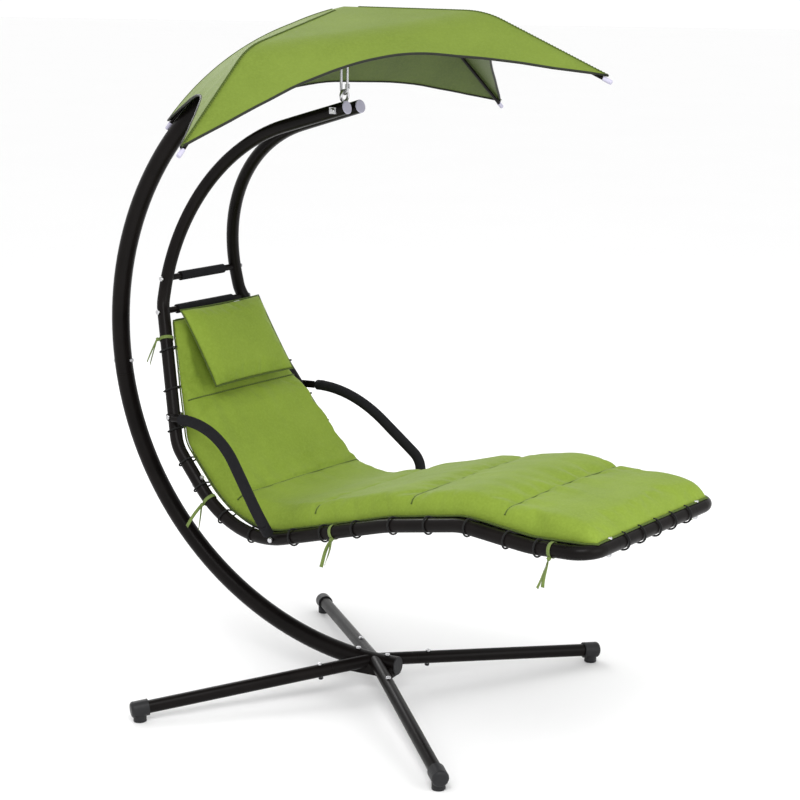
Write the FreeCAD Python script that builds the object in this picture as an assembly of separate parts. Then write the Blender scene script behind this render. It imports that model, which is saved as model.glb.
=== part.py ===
import FreeCAD, Part
import math
import os

# Hanging chaise lounger on an arched stand with a four-rib canopy.
# Millimetres, +Z up, +X from the head end to the foot end, floor at Z = 0.
# While the object is being built X = Y = 0 is the vertical line through the hanging eye.

# ---------------------------------------------------------------- stand sizes
ARC_RADIUS = 930.0            # centre line of the arched tube
ARC_CENTRE_X = 128.0
ARC_CENTRE_Z = 1020.0
ARC_FOOT_DEG = 272.5          # lower end of the arch, seen from its centre
ARC_JOINT_DEG = 188.5         # where the upper tube slips over the lower one
ARC_TIP_DEG = 95.0            # upper end of the arch
ARC_TUBE_R = 27.5
ARC_WALL = 2.0
ARC_SPIGOT_LENGTH = 80.0
PLUG_RIM = 3.0
PLUG_DEPTH = 22.0

LEG_REACH_X = 496.0           # hub centre to foot, along X
LEG_REACH_Y = 540.0
HUB_OFFSET_X = 90.0           # hub centre ahead of the hanging line
HUB_AXIS_Z = 97.0             # height of the leg axis at the hub centre
FOOT_AXIS_Z = 36.0            # height of the leg axis at the foot
STUB_LENGTH = 135.0
LEG_TUBE_R = 19.0
LEG_WALL = 1.5
LEG_SPIGOT_LENGTH = 70.0
FOOT_CAP_LENGTH = 52.0
FOOT_CAP_WALL = 5.0
FOOT_PAD_R = 19.0
FOOT_PAD_Z = 9.0

# ---------------------------------------------------------------- canopy sizes
RIB_R = 5.0
RIB_START = 26.0              # hub centre to the buried end of a rib
RIB_ROOT_Z = 1992.0
FRONT_KINK_X = 434.0
FRONT_KINK_Z = 1984.0
FRONT_TIP_X = 790.0
FRONT_TIP_Z = 1824.0
SIDE_KINK_X = 38.0
SIDE_KINK_Y = 560.0
SIDE_KINK_Z = 1902.0
SIDE_TIP_X = 63.0
SIDE_TIP_Y = 900.0
SIDE_TIP_Z = 1680.0
BACK_TIP_DEG = 139.0          # end of the back rib, seen from the arch centre
BACK_RIB_GAP = 3.0            # back rib above the arched tube
RIB_BEND_R = 90.0
RIB_TIP_R = 6.5
RIB_TIP_LENGTH = 26.0
CANOPY_THICK = 2.5
CANOPY_GAP = 3.5              # cloth above the rib sockets
FRONT_DROOP = 0.32            # how far each edge is cut back between two ribs
BACK_DROOP = 0.20
CANOPY_ROWS = 10
CANOPY_COLUMNS = 8
CANOPY_HUB_R = 34.0
CANOPY_HUB_TOP_Z = 1992.0
SOCKET_WALL = 3.0
CANOPY_SOCKET_LENGTH = 26.0

# ---------------------------------------------------------------- hanging gear
EYE_WIRE_R = 4.5
EYE_R = 15.0                  # centre line of both eyes
EYE_SHANK_R = 5.0
UPPER_EYE_DROP = 26.0         # upper eye centre below the underside of the arch
LINK_WIRE_R = 4.0
LINK_HALF_WIDTH = 11.5        # centre line of the snap link
LOWER_EYE_Z = 1760.0
LINK_PLAY = 0.5

# ---------------------------------------------------------------- lounger sizes
LOUNGER_TURN_DEG = -11.0      # how far the lounger has swung round on its hook
FRAME_R = 19.0                # side tubes
FRAME_WALL = 1.5
# centre line of the right-hand side tube: X, half width, Z, bend radius
HANGER_ROUTE = (
    (33.0, 29.0, 1731.0, 0.0),
    (-584.0, 56.0, 1562.0, 530.0),
    (-584.0, 166.0, 1124.0, 95.0),
    (-400.0, 300.0, 740.0, 150.0),
    (-168.0, 305.0, 484.0, 320.0),
    (398.0, 305.0, 650.0, 600.0),
    (650.0, 305.0, 700.0, 200.0),
    (870.0, 305.0, 686.0, 400.0),
    (1048.0, 305.0, 699.0, 60.0),
)
HANGER_LAST = 3               # the joint lies on the run after this bend
JOINT_SHARE = 0.30            # where on that run
FRAME_SPIGOT_LENGTH = 46.0
FOOT_BAR_SHARE = 0.62         # part of the foot end made by the separate bar
CROSSBAR_R = 9.5
CROSSBAR_SLEEVE_R = 14.0
SHOULDER_BAR_Z = 1201.0
SHOULDER_SLEEVE_HALF = 92.0
HEAD_BAR_Z = 1104.0
HEAD_SLEEVE_HALF = 118.0
ARMREST_R = 9.5
ARMREST_SLEEVE_R = 16.0
# centre line of the right-hand armrest: X, Y from the centre, Z, bend radius
ARMREST_ROUTE = (
    (-414.0, 302.0, 820.0, 0.0),
    (-238.0, 302.0, 832.0, 315.0),
    (4.0, 376.0, 604.0, 80.0),
    (-4.0, 343.0, 565.0, 0.0),
)
TAB_THICK = 5.0
TAB_WIDTH = 22.0
BOLT_R = 4.0
BOLT_HEAD_R = 7.5
BOLT_HEAD_HEIGHT = 5.0
SCREW_STAND_OFF = 3.5         # head of a crossbar screw above the leaning tube
NUT_R = 7.0
NUT_HEIGHT = 6.0
WASHER_THICK = 2.5

SLING_THICK = 2.0
SLING_EDGE_GAP = 46.0         # tube centre to the edge of the sling
CUSHION_THICK = 58.0
CUSHION_HEAD_THICK = 18.0
CUSHION_THIN_Z = 790.0        # the back of the cushion gets thinner above this height
CUSHION_EDGE_GAP = 27.0       # tube centre to the edge of the cushion
CUSHION_LIFT = 12.0           # cushion above the laces at the head
CUSHION_TUBE_GAP = 1.0        # cushion above the laces that go round the foot tube
CUSHION_THINNING = 110.0      # height over which the cushion gets thinner
CUSHION_HEAD_GAP = 32.0       # head bar to the top of the cushion
CUSHION_OVER_FOOT = 6.0       # foot end of the cushion past the middle of the foot tube
LAP_X = -200.0                # the back of the lying surface is behind this, the seat in front
FOOT_CORNER_X = 986.0         # the side tubes run straight up to here
SLING_HEAD_GAP = 8.0
STRIP_STEP = 38.0
PILLOW_LENGTH = 256.0
PILLOW_HALF_WIDTH = 168.0
PILLOW_THICK = 52.0
PILLOW_ROUND = 20.0
PILLOW_GAP = 5.0              # pillow off the thin part of the cushion
PILLOW_TILT_DEG = 8.0         # lower end of the pillow stands off the back
LACE_R = 2.5
EYELET_R = 4.0                # hole in the sling for a lace
EYELET_INSET = 10.0
LACE_PITCH = 88.0
LACE_GAP = 1.6                # between a lace and the tube it goes round
LACE_NOSE_R = 4.6             # bend of a lace where it passes the eyelet
LACE_BOLT_GAP = 34.0          # laces keep this far from the frame bolts
FOOT_LACES = 5
FOOT_LACE_PITCH = 76.0
EYELET_DEPTH = 8.0
TIE_SPOTS = (-560.0, -310.0, 230.0, 900.0)   # X of the cushion's ties, the same on both sides
TIE_WIDTH = 10.0
TIE_THICK = 1.2
TIE_GAP = 0.6                 # between a tie and the tube it goes round
TIE_KNOT_R = 5.5
TIE_TAIL_R = 2.0
TIE_TAIL = 70.0
TIE_CLEAR = 30.0              # ties keep this far from laces and bolts
TIE_LEAN = 0.6                # how far the tails lean outwards
TIE_SPREAD = 0.2              # how far the two tails stand apart
TIE_WIDTH = 12.0
TIE_THICK = 3.0

FIT = 0.2                     # radial clearance of parts that slip together
HOLE_GAP = 0.3                # radial clearance of bolts in their holes

V = FreeCAD.Vector
UP = V(0, 0, 1)
ARC_CENTRE = V(ARC_CENTRE_X, 0, ARC_CENTRE_Z)


# ---------------------------------------------------------------- general shapes
def rod(start, end, radius):
    run = end - start
    return Part.makeCylinder(radius, run.Length, start, run)


def ring_face(centre, normal, radius, hole):
    outer = Part.Wire(Part.makeCircle(radius, centre, normal))
    if hole <= 0:
        return Part.Face(outer)
    inner = Part.Wire(Part.makeCircle(hole, centre, normal))
    return Part.Face(outer).cut(Part.Face(inner)).Faces[0]


def sound(shape):
    # one solid, facing outwards
    solid = shape.Solids[0]
    if solid.Volume < 0:
        solid.reverse()
    return solid


def fused(pieces):
    solid = pieces[0]
    if len(pieces) > 1:
        solid = pieces[0].multiFuse(pieces[1:]).removeSplitter()
    return solid


def straight(start, end, radius, hole):
    run = end - start
    return sound(ring_face(start, run, radius, hole).extrude(run))


def bent(start, tangent, centre, axis, degrees, radius, hole):
    return sound(ring_face(start, tangent, radius, hole).revolve(centre, axis, degrees))


def corner(before, at, after, bend):
    # start, end, centre, axis and angle of the bend at one corner of a route
    inward = (at - before).normalize()
    outward = (after - at).normalize()
    turn = inward.getAngle(outward)
    setback = bend * math.tan(turn / 2)
    axis = inward.cross(outward).normalize()
    start = at - inward * setback
    centre = start + axis.cross(inward) * bend
    return start, at + outward * setback, centre, axis, math.degrees(turn), inward


def pipe(route, radius, hole=0.0):
    # route: list of (point, bend radius); straight runs joined by tangent bends
    pieces = []
    here = route[0][0]
    for i in range(1, len(route) - 1):
        start, end, centre, axis, turn, tangent = corner(
            route[i - 1][0], route[i][0], route[i + 1][0], route[i][1])
        pieces.append(straight(here, start, radius, hole))
        pieces.append(bent(start, tangent, centre, axis, turn, radius, hole))
        here = end
    pieces.append(straight(here, route[-1][0], radius, hole))
    return fused(pieces)


def centre_line(route, step):
    # points along a route, bends included, roughly one step apart
    points = [route[0][0]]
    for i in range(1, len(route) - 1):
        start, end, centre, axis, turn, tangent = corner(
            route[i - 1][0], route[i][0], route[i + 1][0], route[i][1])
        points.extend(between(points[-1], start, step))
        count = max(2, int(math.radians(turn) * route[i][1] / step) + 1)
        for k in range(1, count + 1):
            spin = FreeCAD.Rotation(axis, turn * k / count)
            points.append(centre + spin.multVec(start - centre))
    points.extend(between(points[-1], route[-1][0], step))
    return points


def between(start, end, step):
    count = max(1, int((end - start).Length / step))
    return [start + (end - start) * (k / count) for k in range(1, count + 1)]


def mirrored(shape):
    return shape.mirror(V(0, 0, 0), V(0, 1, 0))


def both_sides(shape):
    return Part.makeCompound([shape, mirrored(shape)])


def solid_from(faces):
    shell = Part.makeShell(faces)
    shell.sewShape()
    solid = Part.makeSolid(shell)
    if solid.Volume < 0:
        solid.reverse()
    return solid


def polygon(*points):
    return Part.Face(Part.makePolygon(list(points) + [points[0]]))


def bolt(seat, direction, grip):
    # domed head at the seat, shank along direction through the grip, nut beyond
    way = V(direction).normalize()
    head = Part.makeCylinder(BOLT_HEAD_R, BOLT_HEAD_HEIGHT, seat, way * -1)
    head = head.makeFillet(BOLT_HEAD_HEIGHT * 0.6, [outer_rim(head, seat - way * BOLT_HEAD_HEIGHT)])
    shank = rod(seat, seat + way * (grip + NUT_HEIGHT + 2), BOLT_R)
    return fused([head, shank])


def outer_rim(shape, centre):
    rims = [e for e in shape.Edges if e.Closed and (e.CenterOfMass - centre).Length < 0.1]
    return rims[0]


def nut(seat, direction):
    # six-sided nut sitting beyond the grip, bored to clear the shank
    way = V(direction).normalize()
    side = way.cross(V(0.31, 0.47, 0.83)).normalize()
    points = []
    for k in range(6):
        spin = FreeCAD.Rotation(way, 60.0 * k)
        points.append(seat + spin.multVec(side) * NUT_R)
    body = polygon(*points).extrude(way * NUT_HEIGHT)
    return body.cut(rod(seat - way, seat + way * (NUT_HEIGHT + 1), BOLT_R + 0.05))


def bolt_hole(seat, direction, grip):
    way = V(direction).normalize()
    return rod(seat - way, seat + way * (grip + 1), BOLT_R + HOLE_GAP)


def through_tube(centre, direction, radius):
    # bolt and nut through a round tube, with the hole they need
    way = V(direction).normalize()
    seat = centre - way * (radius + 1.0)
    grip = 2 * (radius + 1.0)
    return bolt(seat, way, grip), nut(seat + way * grip, way), bolt_hole(seat, way, grip)


# ---------------------------------------------------------------- arch
def arc_point(degrees, radius=ARC_RADIUS):
    angle = math.radians(degrees)
    return ARC_CENTRE + V(math.cos(angle), 0, math.sin(angle)) * radius


def arc_tangent(degrees):
    # direction of travel from the foot of the arch to its tip
    angle = math.radians(degrees)
    return V(math.sin(angle), 0, -math.cos(angle))


def arc_pipe(start_deg, end_deg, radius, hole, centre_radius=ARC_RADIUS):
    face = ring_face(arc_point(start_deg, centre_radius), arc_tangent(start_deg), radius, hole)
    return sound(face.revolve(ARC_CENTRE, V(0, 1, 0), start_deg - end_deg))


def arc_degrees(length):
    return math.degrees(length / ARC_RADIUS)


def end_plug(end, outward, radius, wall):
    # plug pushed into the open end of a tube, with a rim as wide as the tube
    way = V(outward).normalize()
    rim = Part.makeCylinder(radius, PLUG_RIM, end, way)
    rim = rim.makeFillet(PLUG_RIM * 0.6, [outer_rim(rim, end + way * PLUG_RIM)])
    stem = Part.makeCylinder(radius - wall - 0.5, PLUG_DEPTH, end, way * -1)
    return fused([rim, stem])


parts = {}
arc_bore = ARC_TUBE_R - ARC_WALL

lower = arc_pipe(ARC_FOOT_DEG, ARC_JOINT_DEG, ARC_TUBE_R, arc_bore)
spigot_r = arc_bore - FIT
spigot = arc_pipe(ARC_JOINT_DEG + arc_degrees(ARC_SPIGOT_LENGTH) * 0.5,
                  ARC_JOINT_DEG - arc_degrees(ARC_SPIGOT_LENGTH), spigot_r, spigot_r - ARC_WALL)
collar = arc_pipe(ARC_JOINT_DEG + arc_degrees(ARC_SPIGOT_LENGTH) * 0.5,
                  ARC_JOINT_DEG, arc_bore, spigot_r - ARC_WALL)
lower = fused([lower, collar, spigot])
upper = arc_pipe(ARC_JOINT_DEG - arc_degrees(0.5), ARC_TIP_DEG, ARC_TUBE_R, arc_bore)

joint_deg = ARC_JOINT_DEG - arc_degrees(ARC_SPIGOT_LENGTH * 0.5)
joint_way = (ARC_CENTRE - arc_point(joint_deg)).normalize()
joint_bolt, joint_nut, joint_hole = through_tube(arc_point(joint_deg), joint_way, ARC_TUBE_R)
lower = lower.cut(joint_hole)
upper = upper.cut(joint_hole)
parts["arch_joint_bolt"] = joint_bolt
parts["arch_joint_nut"] = joint_nut
parts["arch_bottom_plug"] = end_plug(arc_point(ARC_FOOT_DEG), arc_tangent(ARC_FOOT_DEG) * -1,
                                     ARC_TUBE_R, ARC_WALL)
parts["arch_tip_plug"] = end_plug(arc_point(ARC_TIP_DEG), arc_tangent(ARC_TIP_DEG),
                                  ARC_TUBE_R, ARC_WALL)

# ---------------------------------------------------------------- base
hub = V(HUB_OFFSET_X, 0, HUB_AXIS_Z)
leg_solids = {}
stubs = []
stub_bores = []
leg_bolts = []
leg_nuts = []
foot_points = {}
leg_corners = {
    "back_right": (-1, -1),
    "front_right": (1, -1),
    "front_left": (1, 1),
    "back_left": (-1, 1),
}
leg_bore = LEG_TUBE_R - LEG_WALL
for name, (side_x, side_y) in leg_corners.items():
    foot = V(HUB_OFFSET_X + side_x * LEG_REACH_X, side_y * LEG_REACH_Y, FOOT_AXIS_Z)
    foot_points[name] = foot
    way = (foot - hub).normalize()
    joint = hub + way * STUB_LENGTH
    stubs.append(rod(hub, joint, LEG_TUBE_R))
    stub_bores.append(rod(hub + way * (LEG_TUBE_R * 2), joint + way, leg_bore))
    inner = leg_bore - FIT
    stubs.append(straight(joint - way * (LEG_SPIGOT_LENGTH * 0.4),
                          joint + way * LEG_SPIGOT_LENGTH, inner, inner - LEG_WALL))
    leg = straight(joint + way * 0.5, foot, LEG_TUBE_R, leg_bore)
    across = way.cross(UP).normalize()
    down = way.cross(across).normalize()
    if down.z > 0:
        down = down * -1
    bolt_at = joint + way * (LEG_SPIGOT_LENGTH * 0.5)
    one_bolt, one_nut, one_hole = through_tube(bolt_at, down, LEG_TUBE_R)
    leg_bolts.append(one_bolt)
    leg_nuts.append(one_nut)
    stub_bores.append(one_hole)
    leg_solids[name] = leg.cut(one_hole)
    parts["leg_" + name] = leg_solids[name]

arc_clear = arc_pipe(ARC_FOOT_DEG + arc_degrees(60), ARC_FOOT_DEG - arc_degrees(320),
                     ARC_TUBE_R + FIT, 0)
cradle_length = 150.0
cradle_wall = 5.0
cradle = Part.makeBox(cradle_length, 2 * (ARC_TUBE_R + cradle_wall), ARC_TUBE_R + cradle_wall,
                      V(HUB_OFFSET_X - cradle_length / 2, -(ARC_TUBE_R + cradle_wall),
                        HUB_AXIS_Z - ARC_TUBE_R - 2 * cradle_wall))
cradle = cradle.makeFillet(8.0, [e for e in cradle.Edges if abs(e.tangentAt(e.FirstParameter).z) > 0.9])
hub_solid = cradle.multiFuse([s for s in stubs[0::2]])
for bore in stub_bores[0::2]:
    hub_solid = hub_solid.cut(bore)
hub_solid = hub_solid.multiFuse([s for s in stubs[1::2]])
for hole in stub_bores[1::2]:
    hub_solid = hub_solid.cut(hole)
hub_solid = hub_solid.cut(arc_clear)
hub_bolts = []
hub_nuts = []
for offset in (-0.36, 0.30):
    at_x = HUB_OFFSET_X + offset * cradle_length
    angle = 180 + math.degrees(math.acos((ARC_CENTRE_X - at_x) / ARC_RADIUS))
    seat = arc_point(angle) + V(0, 0, ARC_TUBE_R + 1.0)
    grip = seat.z - (HUB_AXIS_Z - ARC_TUBE_R - 2 * cradle_wall) + 0.5
    hub_bolts.append(bolt(seat, V(0, 0, -1), grip))
    hub_nuts.append(nut(seat - UP * grip, V(0, 0, -1)))
    hole = bolt_hole(seat, V(0, 0, -1), grip + 10)
    hub_solid = hub_solid.cut(hole)
    lower = lower.cut(hole)
solids = sorted(hub_solid.Solids, key=lambda s: s.Volume)
parts["base_hub"] = solids[-1]
parts["hub_bolts"] = Part.makeCompound(hub_bolts + hub_nuts)
parts["leg_bolts"] = Part.makeCompound(leg_bolts)
parts["leg_bolt_nuts"] = Part.makeCompound(leg_nuts)
parts["arch_lower_tube"] = lower

for name, foot in foot_points.items():
    way = (foot - hub).normalize()
    cap_r = LEG_TUBE_R + FOOT_CAP_WALL
    start = foot - way * (FOOT_CAP_LENGTH - FOOT_CAP_WALL)
    cap = Part.makeCylinder(cap_r, FOOT_CAP_LENGTH, start, way)
    cap = cap.makeFillet(FOOT_CAP_WALL * 2, [outer_rim(cap, start + way * FOOT_CAP_LENGTH)])
    pad_at = V(foot.x, foot.y, 0) - V(way.x, way.y, 0) * (FOOT_CAP_LENGTH * 0.42)
    pad = Part.makeCylinder(FOOT_PAD_R, FOOT_AXIS_Z, pad_at)
    pad = pad.makeFillet(2.0, [outer_rim(pad, pad_at)])
    cap = fused([cap, pad])
    cap = cap.cut(rod(start - way * 50, foot + way * 0.3, LEG_TUBE_R + FIT))
    parts["foot_cap_" + name] = sorted(cap.Solids, key=lambda s: s.Volume)[-1]

# ---------------------------------------------------------------- hanging gear
arch_at_hook = 180 - math.degrees(math.acos(ARC_CENTRE_X / ARC_RADIUS))
arch_underside = arc_point(arch_at_hook).z - ARC_TUBE_R
upper_eye_z = arch_underside - UPPER_EYE_DROP
eye_seat_z = arc_point(arch_at_hook).z + ARC_TUBE_R + 3.0


def eye_ring(centre, normal):
    return Part.makeTorus(EYE_R, EYE_WIRE_R, centre, normal)


upper_eye = eye_ring(V(0, 0, upper_eye_z), V(1, 0, 0))
shank_top = eye_seat_z + NUT_HEIGHT + 3.0
shank = rod(V(0, 0, upper_eye_z + EYE_R), V(0, 0, shank_top), EYE_SHANK_R)
flange = Part.makeCylinder(BOLT_HEAD_R + 2, 3.0, V(0, 0, arch_underside - 7.0))
parts["swivel_eye"] = fused([upper_eye, shank, flange])
eye_nut_r = 9.0
eye_nut = Part.makeCylinder(eye_nut_r, NUT_HEIGHT, V(0, 0, eye_seat_z))
parts["swivel_eye_nut"] = eye_nut.cut(rod(V(0, 0, eye_seat_z - 1), V(0, 0, shank_top + 1),
                                          EYE_SHANK_R))
eye_hole = rod(V(0, 0, arch_underside - 10), V(0, 0, shank_top + 20), EYE_SHANK_R + 0.05)
eye_clear = rod(V(0, 0, arch_underside - 10), V(0, 0, shank_top + 20), EYE_SHANK_R + 3.0)

bush_r = EYE_SHANK_R + 3.0
bush = rod(V(0, 0, arch_underside - 1.0), V(0, 0, eye_seat_z - 0.5), bush_r - FIT).cut(eye_hole)
parts["swivel_bush"] = bush
upper = upper.cut(eye_clear)

link_top_z = upper_eye_z - EYE_R + EYE_WIRE_R + LINK_WIRE_R + LINK_PLAY
link_bottom_z = LOWER_EYE_Z + EYE_R - EYE_WIRE_R - LINK_WIRE_R - LINK_PLAY


def link_half(side):
    # one straight flank and the bow above it, from the middle of the top to the flank
    top = V(0, 0, link_top_z - LINK_HALF_WIDTH)
    bow = ring_face(top + V(0, 0, LINK_HALF_WIDTH), V(1, 0, 0), LINK_WIRE_R, 0)
    return sound(bow.revolve(top, V(0, side, 0), 90))


gate_top_z = link_top_z - LINK_HALF_WIDTH - 8.0
gate_bottom_z = link_bottom_z + LINK_HALF_WIDTH + 10.0
bottom = V(0, 0, link_bottom_z + LINK_HALF_WIDTH)
low_bow = ring_face(bottom - V(0, 0, LINK_HALF_WIDTH), V(1, 0, 0), LINK_WIRE_R, 0)
flank_x = LINK_HALF_WIDTH
spine = rod(V(-flank_x, 0, bottom.z), V(-flank_x, 0, link_top_z - LINK_HALF_WIDTH), LINK_WIRE_R)
nose = rod(V(flank_x, 0, gate_top_z), V(flank_x, 0, link_top_z - LINK_HALF_WIDTH), LINK_WIRE_R)
heel_low = rod(V(flank_x, 0, bottom.z), V(flank_x, 0, gate_bottom_z - 6.0), LINK_WIRE_R)
fork = Part.makeBox(8.0, 12.0, 14.0, V(flank_x - 4.0, -6.0, gate_bottom_z - 8.0))
fork = fork.cut(Part.makeBox(14.0, 5.4, 14.0, V(flank_x - 7.0, -2.7, gate_bottom_z - 4.0)))
pin_at = V(flank_x, 0, gate_bottom_z + 1.5)
fork = fork.cut(rod(pin_at - V(0, 9, 0), pin_at + V(0, 9, 0), 1.55))
link = fused([spine, link_half(-1), link_half(1),
              sound(low_bow.revolve(bottom, V(0, 1, 0), 90)),
              sound(low_bow.revolve(bottom, V(0, -1, 0), 90)),
              heel_low, nose, fork])
parts["snap_link_body"] = link
gate_pin = rod(pin_at - V(0, 7, 0), pin_at + V(0, 7, 0), 1.5)
parts["snap_link_gate_pin"] = gate_pin
gate = rod(pin_at + V(0, 0, 6), V(flank_x, 0, gate_top_z - 0.6), LINK_WIRE_R - 0.6)
lug = Part.makeCylinder(3.6, 5.0, pin_at - V(0, 2.5, 0), V(0, 1, 0))
neck = Part.makeBox(5.0, 5.0, 8.0, pin_at + V(-2.5, -2.5, 0))
gate = fused([gate, lug, neck]).cut(rod(pin_at - V(0, 9, 0), pin_at + V(0, 9, 0), 1.56))
parts["snap_link_gate"] = gate

# ---------------------------------------------------------------- lounger frame
def route_points(rows, side):
    return [(V(x, side * y, z), bend) for x, y, z, bend in rows]


right = route_points(HANGER_ROUTE, -1)
foot_half = HANGER_ROUTE[-1][1]
bend_before = right[HANGER_LAST]
bend_after = right[HANGER_LAST + 1]
joint_at = bend_before[0] + (bend_after[0] - bend_before[0]) * JOINT_SHARE
joint_way = (bend_after[0] - bend_before[0]).normalize()
frame_bore = FRAME_R - FRAME_WALL
foot_bar_half = foot_half * FOOT_BAR_SHARE
rail_end = V(HANGER_ROUTE[-1][0], -foot_bar_half, HANGER_ROUTE[-1][2])

hanger_route = right[:HANGER_LAST + 1] + [(joint_at, 0.0)]
rail_route = [(joint_at + joint_way * 0.5, 0.0)] + right[HANGER_LAST + 1:] + [(rail_end, 0.0)]
spigot_r = frame_bore - FIT
hanger_spigot = straight(joint_at - joint_way * 20, joint_at + joint_way * FRAME_SPIGOT_LENGTH,
                         spigot_r, spigot_r - FRAME_WALL)
hanger_collar = straight(joint_at - joint_way * 20, joint_at, frame_bore, spigot_r - FRAME_WALL)
hanger = fused([pipe(hanger_route, FRAME_R, frame_bore), hanger_collar, hanger_spigot])
hanger_solid = pipe(hanger_route, FRAME_R + FIT)
rail = pipe(rail_route, FRAME_R, frame_bore)
rail_solid = pipe(rail_route, FRAME_R + FIT)

side_bolts = []
side_nuts = []


def add_side_bolt(centre, direction, radius, *cut):
    one, own_nut, hole = through_tube(centre, direction, radius)
    side_bolts.append(one)
    side_nuts.append(own_nut)
    return [shape.cut(hole) for shape in cut]


cross_way = joint_way.cross(V(0, 1, 0)).normalize()
hanger, rail = add_side_bolt(joint_at + joint_way * (FRAME_SPIGOT_LENGTH * 0.5), cross_way,
                             FRAME_R, hanger, rail)


def at_height(points, height):
    for a, b in zip(points, points[1:]):
        if (a.z - height) * (b.z - height) <= 0:
            return a + (b - a) * ((height - a.z) / (b.z - a.z)), (b - a).normalize()


hanger_line = centre_line(hanger_route, 20.0)
rail_line = centre_line(rail_route, 20.0)


def crossbar(name, height, sleeve_half):
    end, way = at_height(hanger_line, height)
    bar = rod(end, V(end.x, -end.y, end.z), CROSSBAR_R)
    bar = bar.cut(hanger_solid).cut(mirrored(hanger_solid))
    bar = sorted(bar.Solids, key=lambda s: s.Volume)[-1]
    thread = BOLT_R + 0.05
    seat = end - V(0, FRAME_R + SCREW_STAND_OFF, 0)
    long_hole = rod(seat - V(0, 5, 0), seat + V(0, 2 * FRAME_R + 34, 0), thread)
    screw_len = 2 * FRAME_R + 18.0
    head = Part.makeCylinder(BOLT_HEAD_R, BOLT_HEAD_HEIGHT, seat, V(0, -1, 0))
    head = head.makeFillet(BOLT_HEAD_HEIGHT * 0.6, [outer_rim(head, seat - V(0, BOLT_HEAD_HEIGHT, 0))])
    screw = fused([head, rod(seat, seat + V(0, screw_len, 0), BOLT_R)])
    bar = bar.cut(long_hole).cut(mirrored(long_hole))
    parts[name + "_bar"] = bar
    start = V(end.x, -sleeve_half, end.z)
    parts[name + "_bar_sleeve"] = straight(start, V(end.x, sleeve_half, end.z),
                                           CROSSBAR_SLEEVE_R, CROSSBAR_R + 0.1)
    return screw, bolt_hole(seat, V(0, 1, 0), 2 * FRAME_R + 16)


screws = []
for bar_name, bar_z, bar_half in (("shoulder", SHOULDER_BAR_Z, SHOULDER_SLEEVE_HALF),
                                  ("head", HEAD_BAR_Z, HEAD_SLEEVE_HALF)):
    screw, screw_hole = crossbar(bar_name, bar_z, bar_half)
    screws.append(both_sides(screw))
    hanger = hanger.cut(screw_hole)
parts["crossbar_screws"] = Part.makeCompound([s for pair in screws for s in pair.Solids])

# armrests: a bent tube with flattened ends bolted to the outer side of the side tubes
arm_route = route_points(ARMREST_ROUTE, -1)


def arm_tab(tip, inward_way, tube_at):
    # flat end of the armrest, lying against the side tube
    side = V(0, 1, 0)
    along = (V(inward_way) - side * V(inward_way).dot(side)).normalize()
    face_y = tube_at.y - FRAME_R - 0.6
    low = V(tube_at.x, face_y, tube_at.z)
    plate = Part.makeCylinder(TAB_WIDTH / 2, TAB_THICK, low, V(0, -1, 0))
    reach = (V(tip.x, 0, tip.z) - V(low.x, 0, low.z)).Length + 26
    across = along.cross(side)
    a = low + across * (TAB_WIDTH / 2)
    b = low - across * (TAB_WIDTH / 2)
    strip = polygon(a, a + along * reach, b + along * reach, b).extrude(V(0, -TAB_THICK, 0))
    return plate.fuse(strip), low - V(0, TAB_THICK, 0)


top_tube, top_way = at_height(hanger_line, ARMREST_ROUTE[0][2])
low_tube = min(rail_line, key=lambda p: abs(p.x - ARMREST_ROUTE[-1][0]) + (1e4 if p.z > 640 else 0))
low_tube = V(ARMREST_ROUTE[-1][0], low_tube.y, low_tube.z)
arm_way = (arm_route[1][0] - arm_route[0][0]).normalize()
low_way = (arm_route[-2][0] - arm_route[-1][0]).normalize()
top_tab, top_seat = arm_tab(arm_route[0][0], arm_way, V(top_tube.x, top_tube.y, top_tube.z))
low_tab, low_seat = arm_tab(arm_route[-1][0], low_way, low_tube)
arm = pipe(arm_route, ARMREST_R, 0.0)
arm = fused([arm, top_tab, low_tab])
arm = arm.cut(hanger_solid).cut(rail_solid)
arm_bolts = []
arm_nuts = []
for seat in (top_seat, low_seat):
    grip = TAB_THICK + 2 * FRAME_R + 5.0
    arm_bolts.append(bolt(seat, V(0, 1, 0), grip))
    arm_nuts.append(nut(seat + V(0, grip, 0), V(0, 1, 0)))
    hole = bolt_hole(seat, V(0, 1, 0), grip)
    arm = arm.cut(hole)
    hanger = hanger.cut(hole)
    rail = rail.cut(hole)
arm = sorted(arm.Solids, key=lambda s: s.Volume)[-1]
parts["armrest_right"] = arm
parts["armrest_left"] = mirrored(arm)

arm_start = arm_route[0][0] + arm_way * 58
arm_end = arm_route[-1][0] + low_way * 30
sleeve_route = [(arm_start, 0.0)] + arm_route[1:-1] + [(arm_end, 0.0)]
sleeve = pipe(sleeve_route, ARMREST_SLEEVE_R, ARMREST_R + 0.1)
sleeve = sorted(sleeve.cut(arm).Solids, key=lambda s: s.Volume)[-1]
parts["armrest_sleeve_right"] = sleeve
parts["armrest_sleeve_left"] = mirrored(sleeve)
parts["armrest_bolts"] = Part.makeCompound(
    [s for one in arm_bolts + arm_nuts for s in both_sides(one).Solids])

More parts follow.
